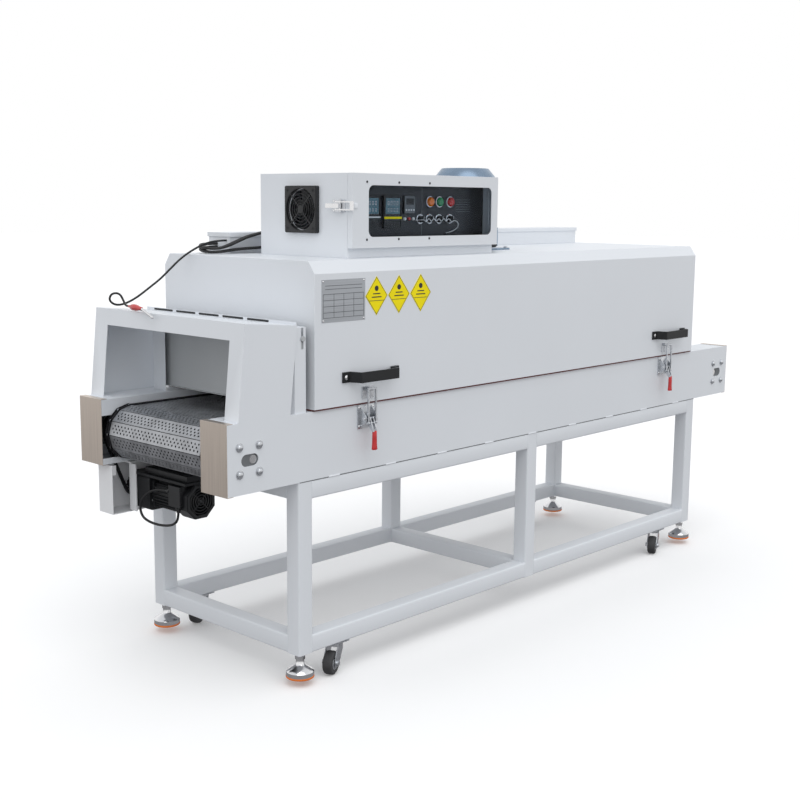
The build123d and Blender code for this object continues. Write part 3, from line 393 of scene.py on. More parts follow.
SENSOR_ROUTE = [
    (-827, 190, 1158), (-858, 190, 1158), (-908, 188, 1151), (-960, 184, 1131), (-1000, 185, 1108),
    (-1034, 190, 1078), (-1060, 198, 1053), (-1090, 206, 1031), (-1123, 218, 1005), (-1154, 232, 987),
    (-1180, 242, 984), (-1199, 244, 999), (-1193, 239, 1018), (-1172, 231, 1018), (-1166, 222, 998),
    (-1171.5, 205, 985.4), (-1176, 182, 985),
]
MOTOR_LEAD_ROUTE = [
    (-1169, 24, 490), (-1169, 58, 490), (-1173, 98, 482), (-1177, 134, 460), (-1178, 153, 428),
    (-1176, 146, 400), (-1173, 120, 389), (-1170, 84, 386), (-1168, 48, 389), (-1168, 12, 398),
    (-1169, -14, 418), (-1169, -14, 449.9),
]
CONDUIT_ROUTE = [
    (-153, -222, 1143), (-93, -222, 1143), (-66, -206, 1143), (-50, -179, 1143), (-50, -148, 1143),
]
# Middle line of the bundle: x, y, z, then the two parts of the sideways step, then the spread.
BUNDLE_ROUTE = [
    (-690, 95, 1164, -1, 0, 24), (-690, 134, 1164, -1, -0.41, 24), (-711, 155, 1160, -0.41, -1, 22),
    (-744, 155, 1156, 0, -1, 20), (-785, 154, 1151, 0, -1, 16), (-818, 155, 1144, 0, -1, 11),
    (-848, 158, 1137, 0, -1, 7), (-877, 158, 1132, -0.41, -1, 5), (-900, 181, 1131, -1, -0.41, 5),
    (-900, 215, 1136, -1, 0.41, 5), (-877, 238, 1143, -0.41, 1, 5), (-827, 238, 1143, 0, 1, 5),
]


PROBE_START = Vector(SENSOR_ROUTE[-1])
BOOT_AXIS = Vector((-16, -82, -1)).normalized()
TIP_AXIS = Vector((-13, -70, -19)).normalized()
TIP_START = PROBE_START + BOOT_AXIS * 84


def probe():
    """The red boot and the bright tip on the end of the sensor lead."""
    boot, tip = Shape(), Shape()
    boot.place = Matrix.Translation(PROBE_START) @ BOOT_AXIS.to_track_quat("Z", "Y").to_matrix().to_4x4()
    boot.lathe("Z", (0, 0, 0), [(0, 0), (3.4, 0), (3.8, 6), (4.4, 14), (7.6, 22), (8.9, 34), (8.8, 46),
                                (7.6, 56), (6.0, 66), (5.2, 76), (5.0, 83), (4.2, 84), (0, 84)], 24)
    tip.place = Matrix.Translation(TIP_START) @ TIP_AXIS.to_track_quat("Z", "Y").to_matrix().to_4x4()
    tip.lathe("Z", (0, 0, 0), [(0, 0), (3.4, 0), (3.5, 1), (3.5, 70), (2.4, 73), (0, 74)], 20)
    return [boot.done("sensor_boot", "hood", "red_grip", replaces=("sensor_probe",)),
            tip.done("sensor_tip", "hood", "bright_steel")]


inside_probe = [tuple(PROBE_START + BOOT_AXIS * s) for s in (28, 56)] + [tuple(TIP_START + TIP_AXIS * 16)]
sensor = cable("sensor_lead.line", SENSOR_ROUTE + inside_probe, 6.0, "hood", replaces=("sensor_lead",))
probe()
cable("gearmotor_lead.line", MOTOR_LEAD_ROUTE, 7.0, "base", replaces=("gearmotor_lead",))
for side in (-1, 1):
    for level in (-1, 1):
        route = [(x + ax * side * 5, y + ay * side * 5, z + level * spread)
                 for x, y, z, ax, ay, spread in BUNDLE_ROUTE]
        cable(f"bundle_strand.{side + level + 2}_{side + 1}", route, 8.0, "hood",
              replaces=("hood_wiring",) if side == level == 1 else ())


def conduit():
    """A corrugated sleeve: rings along the smooth line of its route."""
    guide = cable("conduit_guide", CONDUIT_ROUTE, 0.0, "hood")
    bpy.context.view_layer.update()
    mesh = bpy.data.meshes.new_from_object(guide.evaluated_get(bpy.context.evaluated_depsgraph_get()))
    line = [TO_ROW.inverted() @ (guide.matrix_world @ v.co) for v in mesh.vertices]
    bpy.data.objects.remove(guide)
    shape = Shape()
    sleeve = []
    for a, b in zip(line, line[1:]):
        steps = max(1, round((b - a).length / 1.5))
        sleeve += [a.lerp(b, k / steps) for k in range(steps)]
    sleeve.append(line[-1])
    rows = []
    for k, place in enumerate(sleeve):
        heading = sleeve[min(k + 1, len(sleeve) - 1)] - sleeve[max(k - 1, 0)]
        turn = heading.to_track_quat("Z", "Y").to_matrix()
        radius = 7.9 if k % 4 < 2 else 6.4
        rows.append([place + turn @ Vector((u, v, 0)) for u, v in circle(radius, 20)])
    shape.skin(rows, capped=False)
    shape.done("fan_conduit.sleeve", "hood", "cable_black", smooth=50)


conduit()


# ---------------------------------------------------------------- stand and conveyor

TUBE, FRAME_HALF_X, FRAME_HALF_Y = 50.0, 1013.0, 325.0
FRAME_BOTTOM, FRAME_TOP = 68.0, 545.0
CHAIN_Y, DRIVE_Y = 211, 265
MOTOR_X, MOTOR_Z = -1116.0, 465.0
PITCH, LINKS = 38.1, 61
SHAFT_X, SHAFT_Z = PITCH * LINKS / 2, 631.0
APOTHEM = PITCH / 2 / tan(pi / 12)
HOOD_FRONT = -333.0
PLATE_FRONT = HOOD_FRONT - 0.8
PRINT_FRONT = HOOD_FRONT - 0.95


def stand():
    """Square tube with round corners, and a weld bead round each joint."""
    tubes, welds = Shape(), Shape()
    corners = rounded(TUBE, TUBE, 5)
    bay = (2 * FRAME_HALF_X - 3 * TUBE) / 2
    reach = FRAME_HALF_Y - TUBE
    levels = (FRAME_BOTTOM + TUBE / 2, FRAME_TOP - TUBE / 2)

    def section(a, b, share=1.0):
        return [(a + u * share, b + v * share) for u, v in corners]

    def weld(axis, a, b, along):
        welds.frame(axis, section(a, b, 1.02), section(a, b, 0.92), along - 2.5, along + 2.5)

    for x in (-1, 0, 1):
        cx = x * (FRAME_HALF_X - TUBE / 2)
        for y in (-1, 1):
            tubes.prism("Z", section(cx, y * (FRAME_HALF_Y - TUBE / 2)), FRAME_BOTTOM, FRAME_TOP)
        for z in levels:
            tubes.prism("Y", section(cx, z), -reach - 3, reach + 3)
            for y in (-1, 1):
                weld("Y", cx, z, y * reach)
    for y in (-1, 1):
        cy = y * (FRAME_HALF_Y - TUBE / 2)
        for z in levels:
            for end in (-1, 1):
                low, high = sorted((end * TUBE / 2, end * (TUBE / 2 + bay)))
                tubes.prism("X", section(cy, z), low - 3, high + 3)
                for x in (low, high):
                    weld("X", cy, z, x)
    tubes.done("stand_tubes", "base", "powder_white", replaces=("stand_frame",))
    welds.done("stand_welds", "base", "powder_white", bevel=0.8)
    seam, beads = Shape(), Shape()
    for side in (-1, 1):
        y = side * FRAME_HALF_Y
        seam.box((-FRAME_HALF_X + 4, FRAME_HALF_X - 4), tuple(sorted((y, y + side * 0.35))),
                 (FRAME_TOP - 1.6, FRAME_TOP + 0.8))
        for k in range(9):
            x = -FRAME_HALF_X + 130 + 220 * k
            beads.rod("X", (x, y - side * 1.2, FRAME_TOP), 3.0, 42, 1.4, 12)
    # Painted shade: the seam strip is a dark grey line standing for the shade in the gap under the channels.
    seam.done("rail_seam", "base", "powder_white", material=GREY_AND_PAINTED_SHADE)
    beads.done("rail_weld_tacks", "base", "powder_white")


def levelling_feet():
    cup = [(38.4, 6), (38.5, 8), (38.5, 17.4), (37, 19.4), (31, 24), (23, 29), (16, 33.4), (12.6, 36.4),
           (11.5, 38), (11.5, 50), (0, 50)]
    pad = [(0, 0), (37.6, 0), (39, 1.2), (39, 5.4), (38.3, 6.4), (0, 6.4)]
    stem = [(0, 56)]
    for k in range(23):
        stem += [(7.0, 58 + 2.2 * k), (7.9, 59.1 + 2.2 * k)]
    stem += [(7.6, 110), (0, 112)]
    number = 0
    for x in (-1, 1):
        for y in (-1, 1):
            number += 1
            cx, cy = x * (FRAME_HALF_X - TUBE / 2), y * (FRAME_HALF_Y - TUBE / 2)
            body = f"levelling_foot_{number}"
            foot = Shape()
            foot.lathe("Z", (cx, cy, 0), cup, 40)
            foot.lathe("Z", (cx, cy, 0), stem, 24)
            foot.prism("Z", circle(13.9, 6, (cx, cy), 0.3), 50, 59)
            foot.done(f"{body}.cup", body, "bright_steel", replaces=(body,))
            sole = Shape().lathe("Z", (cx, cy, 0), pad, 40)
            sole.done(f"{body}.pad", body, "orange_pad")


def casters():
    tread = [(4.1, -13.6), (28.6, -13.6), (31.6, -11.4), (33, -6.5), (33, 6.5), (31.6, 11.4), (28.6, 13.6),
             (4.1, 13.6)]
    rim = [(4.1, -14), (18, -14), (19.5, -13), (19.5, 13), (18, 14), (4.1, 14)]
    for number in range(1, 5):
        low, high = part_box(f"caster_wheel_{number}")
        centre = TO_ROW.inverted() @ ((Vector(low) + Vector(high)) / 2)
        body = f"caster_wheel_{number}"
        turn = Matrix.Translation(centre) @ Matrix.Rotation(radians(-67.38), 4, "Z")
        tyre, hub = Shape(), Shape()
        tyre.place = hub.place = turn
        tyre.lathe("X", (0, 0, 0), tread, 40, closed=True)
        hub.lathe("X", (0, 0, 0), rim, 32, closed=True)
        tyre.done(f"{body}.tyre", body, "tyre_grey", replaces=(body,))
        hub.done(f"{body}.hub", body, "zinc")
        eased(f"caster_fork_{number}", 0.8)


def slat_spots(radius):
    """The place of each link round the belt: along the top, round the exit, back, round the entry."""
    spots = []
    for side in (1, -1):
        for k in range(LINKS):
            x = -SHAFT_X + PITCH * (k + 0.5)
            turn = Matrix.Identity(4) if side > 0 else Matrix.Rotation(pi, 4, "Y")
            spots.append((x, side, Matrix.Translation((x, 0, SHAFT_Z + side * radius)) @ turn))
    for end in (-1, 1):
        for k in range(6):
            lean = end * (15 + 30 * k)
            a = radians(90 - lean)
            where = (end * SHAFT_X + radius * cos(a), 0, SHAFT_Z + radius * sin(a))
            spots.append((where[0], 0, Matrix.Translation(where) @ Matrix.Rotation(radians(lean), 4, "Y")))
    return spots


def perforated_slat(columns=25, across=15.5, rows=3, row_step=9.0, hole=3.1, half_width=202.0):
    """One slat as points and faces: rows of eight-sided holes in a flat sheet, 1.6 thick."""
    bm = bmesh.new()
    ring8 = [(cos(pi / 4 * k), sin(pi / 4 * k)) for k in range(8)]
    square = [(1, 0), (1, 1), (0, 1), (-1, 1), (-1, 0), (-1, -1), (0, -1), (1, -1)]
    for r in range(rows):
        cx = (r - (rows - 1) / 2) * row_step
        shift = 0.25 if r % 2 else -0.25
        for c in range(columns):
            cy = (c - (columns - 1) / 2 + shift) * across
            inner = [bm.verts.new((cx + hole * u, cy + hole * v, 0)) for u, v in ring8]
            outer = [bm.verts.new((cx + row_step / 2 * u, cy + across / 2 * v, 0)) for u, v in square]
            for k in range(8):
                bm.faces.new((outer[k], outer[(k + 1) % 8], inner[(k + 1) % 8], inner[k]))
    edge = rows * row_step / 2
    for low, high in ((-18.6, -edge), (edge, 18.6)):
        bm.faces.new([bm.verts.new((x, y, 0)) for x, y in ((low, -half_width), (high, -half_width),
                                                          (high, half_width), (low, half_width))])
    for r in range(rows):
        middle = (0.25 if r % 2 else -0.25) * across
        reach = columns / 2 * across
        low_x, high_x = (r - rows / 2) * row_step, (r + 1 - rows / 2) * row_step
        for low, high in ((-half_width, middle - reach), (middle + reach, half_width)):
            bm.faces.new([bm.verts.new((x, y, 0)) for x, y in ((low_x, low), (high_x, low), (high_x, high),
                                                              (low_x, high))])
    bmesh.ops.remove_doubles(bm, verts=bm.verts, dist=0.01)
    made = bmesh.ops.extrude_face_region(bm, geom=bm.faces[:])
    raised = [v for v in made["geom"] if isinstance(v, bmesh.types.BMVert)]
    bmesh.ops.translate(bm, vec=(0, 0, 1.6), verts=raised)
    bm.verts.index_update()
    points = [tuple(v.co) for v in bm.verts]
    faces = [tuple(v.index for v in f.verts) for f in bm.faces]
    bm.free()
    return points, faces


def belt():
    """Perforated slats where they can be seen closely, plain punched ones inside the tunnel."""
    points, faces = perforated_slat()
    near, far, joints = Shape(), Shape(), Shape()
    for x, side, turn in slat_spots(APOTHEM + 1.0):
        close = side == 0 or abs(x) > (820 if side > 0 else 1000)
        if close:
            near.place = turn
            near.put(points, faces)
        else:
            far.place = turn
            far.box((-18.5, 18.5), (-202, 202), (0, 1.8))
        joints.place = turn @ Matrix.Translation((PITCH / 2, 0, -0.4))
        for k in range(9):
            y = -180 + 45 * k
            joints.box((-1.6, 1.6), (y - 15, y + 15), (-1.5, 1.5))
    near.done("belt_slats.open", "base", "belt_steel", smooth=20, replaces=("conveyor_belt",))
    far.done("belt_slats.plain", "base", "belt_steel", material=PUNCHED)
    joints.done("belt_hinge_knuckles", "base", "chain_steel")
    plates, pins = Shape(), Shape()
    for _, _, turn in slat_spots(APOTHEM):
        for side in (-1, 1):
            for k, y in enumerate((-5.2, 5.2)):
                plates.place = turn @ Matrix.Translation((0, side * CHAIN_Y + y, 0))
                shift = 0.9 * (k - 0.5)
                plates.prism("Y", rounded(PITCH + 10.4, 11.6, 5.6, 3), shift - 0.8, shift + 0.8)
            pins.place = turn @ Matrix.Translation((PITCH / 2, side * CHAIN_Y, 0))
            pins.rod("Y", (0, 0, 0), 2.6, 12.6, 0.5, 12)
            pins.rod("Y", (0, 0, 0), 4.8, 6.0, 0.3, 16)
    plates.done("belt_chain_plates", "base", "chain_steel")
    pins.done("belt_chain_pins", "base", "zinc")


def toothed(radius, tip, teeth, turn):
    outline = []
    for k in range(teeth):
        a = 2 * pi * k / teeth + turn
        step = 2 * pi / teeth
        outline += [(radius * cos(a + step * f), radius * sin(a + step * f)) for f in (-0.16, 0.0, 0.16)]
        outline += [(tip * cos(a + step * f), tip * sin(a + step * f)) for f in (0.42, 0.5, 0.58)]
    return outline


def shafts():
    """Turned shafts with toothed wheels for both belt chains; the driving one has a third."""
    for name, end in (("drive_shaft", -1), ("tail_shaft", 1)):
        x = end * SHAFT_X
        bar = Shape().rod("Y", (x, 0, SHAFT_Z), 12.5, 640, 1.0, 32)
        for side in (-1, 1):
            bar.rod("Y", (x, side * 199, SHAFT_Z), 24, 24, 1.5, 32)
        bar.done(f"{name}.bar", name, "bright_steel", replaces=(name,))
        wheels = Shape()
        for side in (-1, 1):
            wheels.place = Matrix.Translation((x, side * CHAIN_Y, SHAFT_Z))
            wheels.prism("Y", toothed(66.5, 69.5, 12, 0.0), -2.4, 2.4)
        if end < 0:
            wheels.place = Matrix.Translation((x, DRIVE_Y, SHAFT_Z))
            wheels.prism("Y", toothed(44.5, 48.6, 25, 0.0), -2.8, 2.8)
        wheels.done(f"{name}.chain_wheels", name, "chain_steel", bevel=0.4)


def bearings():
    """Flange blocks behind the channel webs, painted dark grey for the shade they sit in, and the domed bolts
    that hold them.
    """
    blocks, bolts = Shape(), Shape()
    dome = [(0, 0), (11.6, 0), (11.8, 1.6), (8.2, 1.9), (8.3, 4.2), (7.2, 6.6), (4.4, 7.8), (0, 8.0)]
    for end in (-1, 1):
        for side in (-1, 1):
            x, face = end * 1178, side * 322
            span = tuple(sorted((face, face - side * 30)))
            blocks.frame("Y", [(x + u, SHAFT_Z + 1.5 + v) for u, v in rounded(86, 89, 12, 7)],
                         [(end * SHAFT_X + u, SHAFT_Z + v) for u, v in circle(13.2, 32, turn=0.1)], *span)
            for dx in (-32, 32):
                for dz in (-33, 36):
                    spot = (x + dx, side * 325, SHAFT_Z + dz)
                    bolts.lathe("Y", spot, [(r, side * h) for r, h in dome], 24)
    # Painted shade: the blocks are dark grey instead of zinc for the shade behind the channel webs.
    blocks.done("bearing_blocks", "base", "zinc", material=GREY_AND_PAINTED_SHADE, bevel=0.6,
                replaces=("shaft_bearings",))
    bolts.done("bearing_bolts", "base", "zinc", smooth=50)


def gearmotor():
    """Worm gearbox, finned motor, eight-sided fan cowl with a ring grille, and terminal box."""
    x, z = MOTOR_X, MOTOR_Z
    case = Shape()
    case.prism("Y", rounded(96, 96, 10, 4, (x, z)), 124, 205)
    case.prism("Y", rounded(78, 78, 8, 4, (x, z)), 116, 124)
    case.rod("Y", (x, 64, z), 39, 108, 1, 40)
    for k in range(26):
        a = 2 * pi * k / 26
        case.place = Matrix.Translation((x, 0, z)) @ Matrix.Rotation(a, 4, "Y")
        case.box((38, 45.4), (12, 114), (-1.2, 1.2))
    case.place = Matrix.Identity(4)
    case.done("gearmotor.case", "base", "black_paint", bevel=0.8, replaces=("gearmotor",))
    cowl = Shape()
    eight = [(x + u, z + v) for u, v in circle(51.8, 8, turn=pi / 8)]
    mid = [(x + u, z + v) for u, v in circle(46.5, 8, turn=pi / 8)]
    cowl.frame("Y", eight, mid, -38, 10)
    cowl.frame("Y", [(x + u, z + v) for u, v in circle(51.8, 8, turn=pi / 8)],
               [(x + u, z + v) for u, v in circle(40.5, 8, turn=pi / 8)], -44, -38)
    cowl.frame("Y", [(x + u, z + v) for u, v in circle(49.0, 8, turn=pi / 8)],
               [(x + u, z + v) for u, v in circle(40.5, 8, turn=pi / 8)], -46.5, -44)
    cowl.prism("Y", mid, 4, 10)
    for radius in (10, 18, 26, 34):
        cowl.torus("Y", (x, -43.5, z), radius, 2.1, 40, 8)
    for k in range(4):
        cowl.place = Matrix.Translation((x, 0, z)) @ Matrix.Rotation(pi / 4 + k * pi / 2, 4, "Y")
        cowl.box((0, 42), (-44.6, -42.4), (-1.5, 1.5))
    cowl.place = Matrix.Identity(4)
    cowl.rod("Y", (x, -43.5, z), 6, 4, 1, 20)
    cowl.done("gearmotor.cowl", "base", "black_plastic", bevel=0.8)
    mount = Shape().box((x - 52, x + 52), (-44, 204), (z + 48, z + 56))
    mount.prism("Y", rounded(84, 18, 3, 2, (x, z + 65)), -40, 150)
    mount.done("gearmotor.mount", "base", "black_paint", bevel=1.0)
    box = Shape().box((x - 58, x - 32), (-27, 24), (z - 14, z + 44))
    box.box((x - 57, x - 33), (-28, -27), (z - 12, z + 42))
    box.done("gearmotor.terminal_box", "base", "black_plastic", bevel=1.5)
    screws = Shape()
    for dx, dz in ((-53, -8), (-37, -8), (-53, 38), (-37, 38)):
        screws.rod("Y", (x + dx, -27.6, z + dz), 2.4, 0.8, 0.2, 12)
    for k in (0, 1, 3, 6):
        a = k * pi / 4
        where = (x + 47.9 * cos(a), -14, z + 47.9 * sin(a))
        screws.place = Matrix.Translation(where) @ Matrix.Rotation(-a + pi / 2, 4, "Y")
        screws.rod("Z", (0, 0, 0), 3.0, 1.6, 0.5, 14)
    screws.place = Matrix.Identity(4)
    for u, v in circle(42, 6, (x, z), 0.5):
        screws.rod("Y", (u, 124.2, v), 3.0, 1.4, 0.4, 14)
    screws.done("gearmotor.screws", "base", "zinc")
    glands = Shape()
    glands.prism("Y", circle(7.5, 6, (-1169, 490)), 24.2, 30)
    glands.rod("Y", (-1169, 34, 490), 6, 8, 1.5, 20)
    glands.prism("Z", circle(7.0, 6, (-1169, -14)), 443, 449.8)
    glands.rod("Z", (-1169, -14, 440), 5.6, 6, 1.5, 20)
    glands.done("gearmotor_lead.glands", "base", "black_plastic", bevel=0.6)


stand()
levelling_feet()
casters()
belt()
shafts()
bearings()
gearmotor()
for node, easing in (("side_channels", 0.9), ("end_caps", 0.6), ("entry_hood", 0.8), ("tunnel_collar", 0.8),
                     ("entry_gate", 0.6), ("hood_shell", 0.8), ("control_cabinet", 0.8), ("cable_trunk", 0.8),
                     ("hood_handles", 1.2), ("drive_guard", 0.6), ("stand_fittings", 0.4),
                     ("hood_fittings", 0.4)):
    eased(node, easing)


# ---------------------------------------------------------------- portal and drive

def portal_vents():
    """A low upright lip at the back of the portal's roof, with a row of vents in it, painted black for the
    shade in their openings.
    """
    lip, vents = Shape(), Shape()
    lip.box((-1016.5, -1015), (-323, 323), (956, 967))
    # Painted shade: the vents are thin black plates standing for the shade in their openings.
    for k in range(5):
        y = -172 + 104 * k
        vents.prism("X", rounded(88, 5.5, 2.6, 3, (y, 962.5)), -1016.8, -1016.4)
    lip.done("entry_hood.lip", "base", "powder_white")
    vents.done("entry_hood.vents", "base", "black_plastic")


def drive_loop():
    """The short chain from the motor's pinion up to the driving shaft, link by link."""
    ends = (Vector((-SHAFT_X, SHAFT_Z)), Vector((MOTOR_X, MOTOR_Z)))
    radii = (53.5, 31.5)
    span = ends[1] - ends[0]
    heading = atan2(span.y, span.x)
    lean = acos((radii[0] - radii[1]) / span.length)
    path = []
    for centre, radius, first, last in ((ends[0], radii[0], heading + lean, heading + 2 * pi - lean),
                                        (ends[1], radii[1], heading - lean, heading + lean)):
        steps = round(radius * (last - first) / 12)
        for k in range(steps + 1):
            a = first + (last - first) * k / steps
            path.append(centre + radius * Vector((cos(a), sin(a))))
    path.append(path[0])
    plates = Shape()
    for a, b in zip(path, path[1:]):
        run = b - a
        steps = max(1, round(run.length / 12.7))
        for k in range(steps):
            spot = a.lerp(b, (k + 0.5) / steps)
            plates.place = (Matrix.Translation((spot.x, DRIVE_Y, spot.y))
                            @ Matrix.Rotation(-atan2(run.y, run.x), 4, "Y"))
            inset = 2.4 + k % 2 * 0.9
            for side in (-1, 1):
                low, high = sorted((side * inset, side * (inset + 0.9)))
                plates.prism("Y", rounded(run.length / steps + 4.4, 7.4, 3.4, 2), low, high)
            plates.rod("Y", (run.length / steps / 2, 0, 0), 2.2, 7.6, 0.3, 8)
    plates.done("drive_chain.links", "base", "chain_steel", replaces=("drive_chain",))
    body = body_of_node["drive_pinion"]
    pinion = Shape().rod("Y", (MOTOR_X, 226, MOTOR_Z), 7.5, 92, 0.5, 24)
    pinion.place = Matrix.Translation((MOTOR_X, DRIVE_Y, MOTOR_Z))
    pinion.prism("Y", toothed(23.5, 26.8, 15, 0), -2.8, 2.8)
    pinion.place = Matrix.Identity(4)
    pinion.rod("Y", (MOTOR_X, 258, MOTOR_Z), 16, 10, 0.6, 24)
    pinion.done("drive_pinion.wheel", body, "chain_steel", replaces=("drive_pinion",))


# ---------------------------------------------------------------- hood fittings

def screw_head(shape, x, y, z, radius=4.0, height=2.2, sink=1):
    """A round-headed screw in a front face; sink is the way the head looks along Y."""
    profile = [(0, 0), (radius, 0), (radius, -0.35 * height), (radius * 0.72, -0.85 * height),
               (radius * 0.3, -height), (0, -height)]
    return shape.lathe("Y", (x, y, z), [(r, sink * h) for r, h in profile], 20)


def hood_handles():
    screws = Shape()
    for x in (-754.0, 790.0):
        for side in (-1, 1):
            screw_head(screws, x + side * 97, HOOD_FRONT - 5, 809.5, 6.5, 3.6)
    screws.done("handle_screws", "hood", "bright_steel")


def clamps():
    """Pressed lever with a flared red grip, and the wire hook that it pulls."""
    py, pz = -344.0, 690.0
    qy, qz = py - 7, pz - 12
    for name, x in (("near", -766.0), ("far", 772.0)):
        body = f"clamp_lever_{name}"
        lever = Shape().rod("X", (x, py, pz), 3.0, 50, 0.5, 20)
        for side in (-1, 1):
            arm = [(py + 5, pz + 5), (py + 5, pz - 9), (py - 11, 655), (py - 21, 655), (qy - 5, qz),
                   (py - 6, pz + 5)]
            lever.prism("X", arm, x + side * 6 - 1.5, x + side * 6 + 1.5)
        lever.rod("X", (x, qy, qz), 2.5, 40, 0.4, 16)
        lever.box((x - 4.5, x + 4.5), (py - 21, py - 13), (630, 664))
        lever.done(f"{body}.arms", body, "zinc", bevel=0.5, replaces=(body,))
        grip = Shape()
        grip.place = Matrix.Translation((x, py - 17, 0))
        levels = [(658, 5.4, 4.4), (656, 6.8, 5.6), (640, 7.2, 6.2), (622, 7.4, 6.4), (612, 8.6, 6.8),
                  (607, 9.8, 7.0), (605, 9.0, 6.2)]
        grip.skin([[(w * u, d * v, z) for u, v in circle(1, 20)] for z, w, d in levels])
        grip.done(f"{body}.grip", body, "red_grip", smooth=60)
        eased(f"clamp_hook_{name}", 0.8)
        rivets = Shape()
        for side in (-1, 1):
            rivets.rod("X", (x + side * 23.8, py, pz), 4.6, 2.0, 0.6, 20)
            for z in (668, 719):
                screw_head(rivets, x + side * 26.5, -328, z, 3.6, 2.0)
        rivets.done(f"{body}.rivets", "base", "bright_steel")


def plates_on_hood():
    """A blank rating plate and three plain caution tiles."""
    plate = Shape().box((-937, -777), (PLATE_FRONT, HOOD_FRONT), (960, 1072))
    plate.done("rating_plate", "hood", "label_silver", bevel=0.3, replaces=("front_plates",))
    ruling = Shape()
    for z, low, high in ((1056, -925, -789), (1047, -925, -789), (1034, -931, -783), (1018, -931, -783),
                         (1002, -931, -783), (986, -931, -783), (972, -931, -783)):
        ruling.box((low, high), (PRINT_FRONT, PLATE_FRONT), (z - 0.9, z + 0.9))
    for x in (-931, -893, -857, -820, -783):
        ruling.box((x - 0.8, x + 0.8), (PRINT_FRONT, PLATE_FRONT), (971.5, 1034.5))
    ruling.done("rating_plate_ruling", "hood", "label_silver", material=GREY_AND_PAINTED_SHADE)
    rivets = Shape()
    for x in (-932, -782):
        for z in (965, 1067):
            screw_head(rivets, x, PLATE_FRONT, z, 2.6, 1.6)
    rivets.done("rating_plate_rivets", "hood", "bright_steel")
    tiles, marks = Shape(), Shape()
    for k in range(3):
        x, z = -733 + 89 * k, 1022

        def rhomb(share):
            return [(x - 43 * share, z), (x, z - 53 * share), (x + 43 * share, z), (x, z + 53 * share)]

        tiles.prism("Y", rhomb(1), PLATE_FRONT, HOOD_FRONT)
        marks.frame("Y", rhomb(0.965), rhomb(0.925), PRINT_FRONT, PLATE_FRONT)
        marks.box((x - 14, x + 14), (PRINT_FRONT, PLATE_FRONT), (z + 4, z + 7))
        marks.box((x - 19, x + 19), (PRINT_FRONT, PLATE_FRONT), (z - 5, z - 2))
        marks.box((x - 28, x + 28), (PRINT_FRONT, PLATE_FRONT), (z - 14, z - 12.6))
        marks.prism("Y", circle(7.5, 20, (x, z + 20)), PRINT_FRONT, PLATE_FRONT)
    tiles.done("caution_tiles", "hood", "label_yellow")
    marks.done("caution_tile_marks", "hood", "label_yellow", material=FINISHES["black_plastic"])


def hood_fan():
    """Pedestal, ribbed motor body and chamfered cowl, with a terminal box at the front."""
    x, y = 10.0, -13.0
    grey = Shape()
    grey.prism("Z", rounded(220, 220, 8, 4, (x, y)), 1121, 1127)
    grey.lathe("Z", (x, y, 0), [(0, 1127), (62, 1127), (62, 1131), (54, 1136), (54, 1148), (74, 1158),
                                (74, 1318), (0, 1318)], 48)
    for k in range(36):
        grey.place = Matrix.Translation((x, y, 0)) @ Matrix.Rotation(2 * pi * k / 36, 4, "Z")
        grey.box((73, 83.6), (-1.3, 1.3), (1164, 1316))
    grey.place = Matrix.Identity(4)
    grey.prism("Z", circle(83.6, 48, (x, y)), 1154, 1163)
    grey.done("hood_fan.body", "hood", "motor_blue_grey", bevel=0.6, replaces=("fan_motor",))
    cap = Shape().lathe("Z", (x, y, 0), [(84, 1321), (99.5, 1321), (101, 1322.5), (101, 1353), (100, 1355.5),
                                        (78, 1382.5), (75, 1384), (56, 1384), (54, 1382), (0, 1382)], 48)
    cap.done("hood_fan.cowl", "hood", "motor_blue_grey", smooth=28)
    # Painted shade: the slots are thin dark grey plates standing for the shade in the openings of the cowl
    # top.
    slots = Shape()
    for k in range(24):
        slots.place = Matrix.Translation((x, y, 0)) @ Matrix.Rotation(2 * pi * k / 24, 4, "Z")
        slots.box((18, 50), (-1.6, 1.6), (1381.9, 1382.4))
    slots.place = Matrix.Identity(4)
    slots.done("hood_fan.slots", "hood", "motor_blue_grey", material=GREY_AND_PAINTED_SHADE)
    box = Shape().box((-60, 20), (-145, -73), (1137, 1195))
    box.box((-61, 21), (-148, -144), (1135, 1195))
    box.done("hood_fan.terminal_box", "hood", "motor_blue_grey", bevel=2.0)
    bolts = Shape()
    for dx in (-98, 98):
        for dy in (-98, 98):
            bolts.prism("Z", circle(6, 6, (x + dx, y + dy)), 1127, 1131.5)
            bolts.rod("Z", (x + dx, y + dy, 1127.6), 8.5, 1.2, 0.3, 20)
    for bx in (-54, 14):
        for bz in (1142, 1189):
            screw_head(bolts, bx, -148, bz, 3.0, 1.6)
    bolts.done("hood_fan.bolts", "hood", "zinc")
    glands = Shape()
    glands.place = Matrix.Translation((-50, -148, 1143)) @ Matrix.Rotation(pi / 2, 4, "X")
    glands.prism("Z", circle(10.5, 6), 0.1, 6)
    glands.place = Matrix.Translation((-153, -222, 1143)) @ Matrix.Rotation(pi / 2, 4, "Y")
    glands.prism("Z", circle(10.5, 6), 0.1, 6)
    glands.done("fan_conduit.glands", "hood", "black_plastic", bevel=0.6)


# ---------------------------------------------------------------- control cabinet

def door():
    eased("cabinet_door", 0.9)
    screws = Shape()
    for x in (-720, -593, -465):
        for z in (1171, 1327):
            screw_head(screws, x, -283, z, 3.4, 2.0)
    screws.done("door_screws", "cabinet_door", "chain_steel")
    for name in ("door_latch_lever", "door_latch_strap"):
        eased(name, 0.5)
    rivets = Shape()
    for z in (1249.5, 1274.5):
        rivets.rod("X", (-777.6, -213, z), 2.6, 1.4, 0.4, 16)
        rivets.rod("X", (-777.6, -252, z), 2.6, 1.4, 0.4, 16)
    for z in (1244.4, 1279.6):
        rivets.rod("Z", (-781, -240, z), 3.4, 1.4, 0.4, 16)
    rivets.done("door_latch_rivets", "hood", "bright_steel")


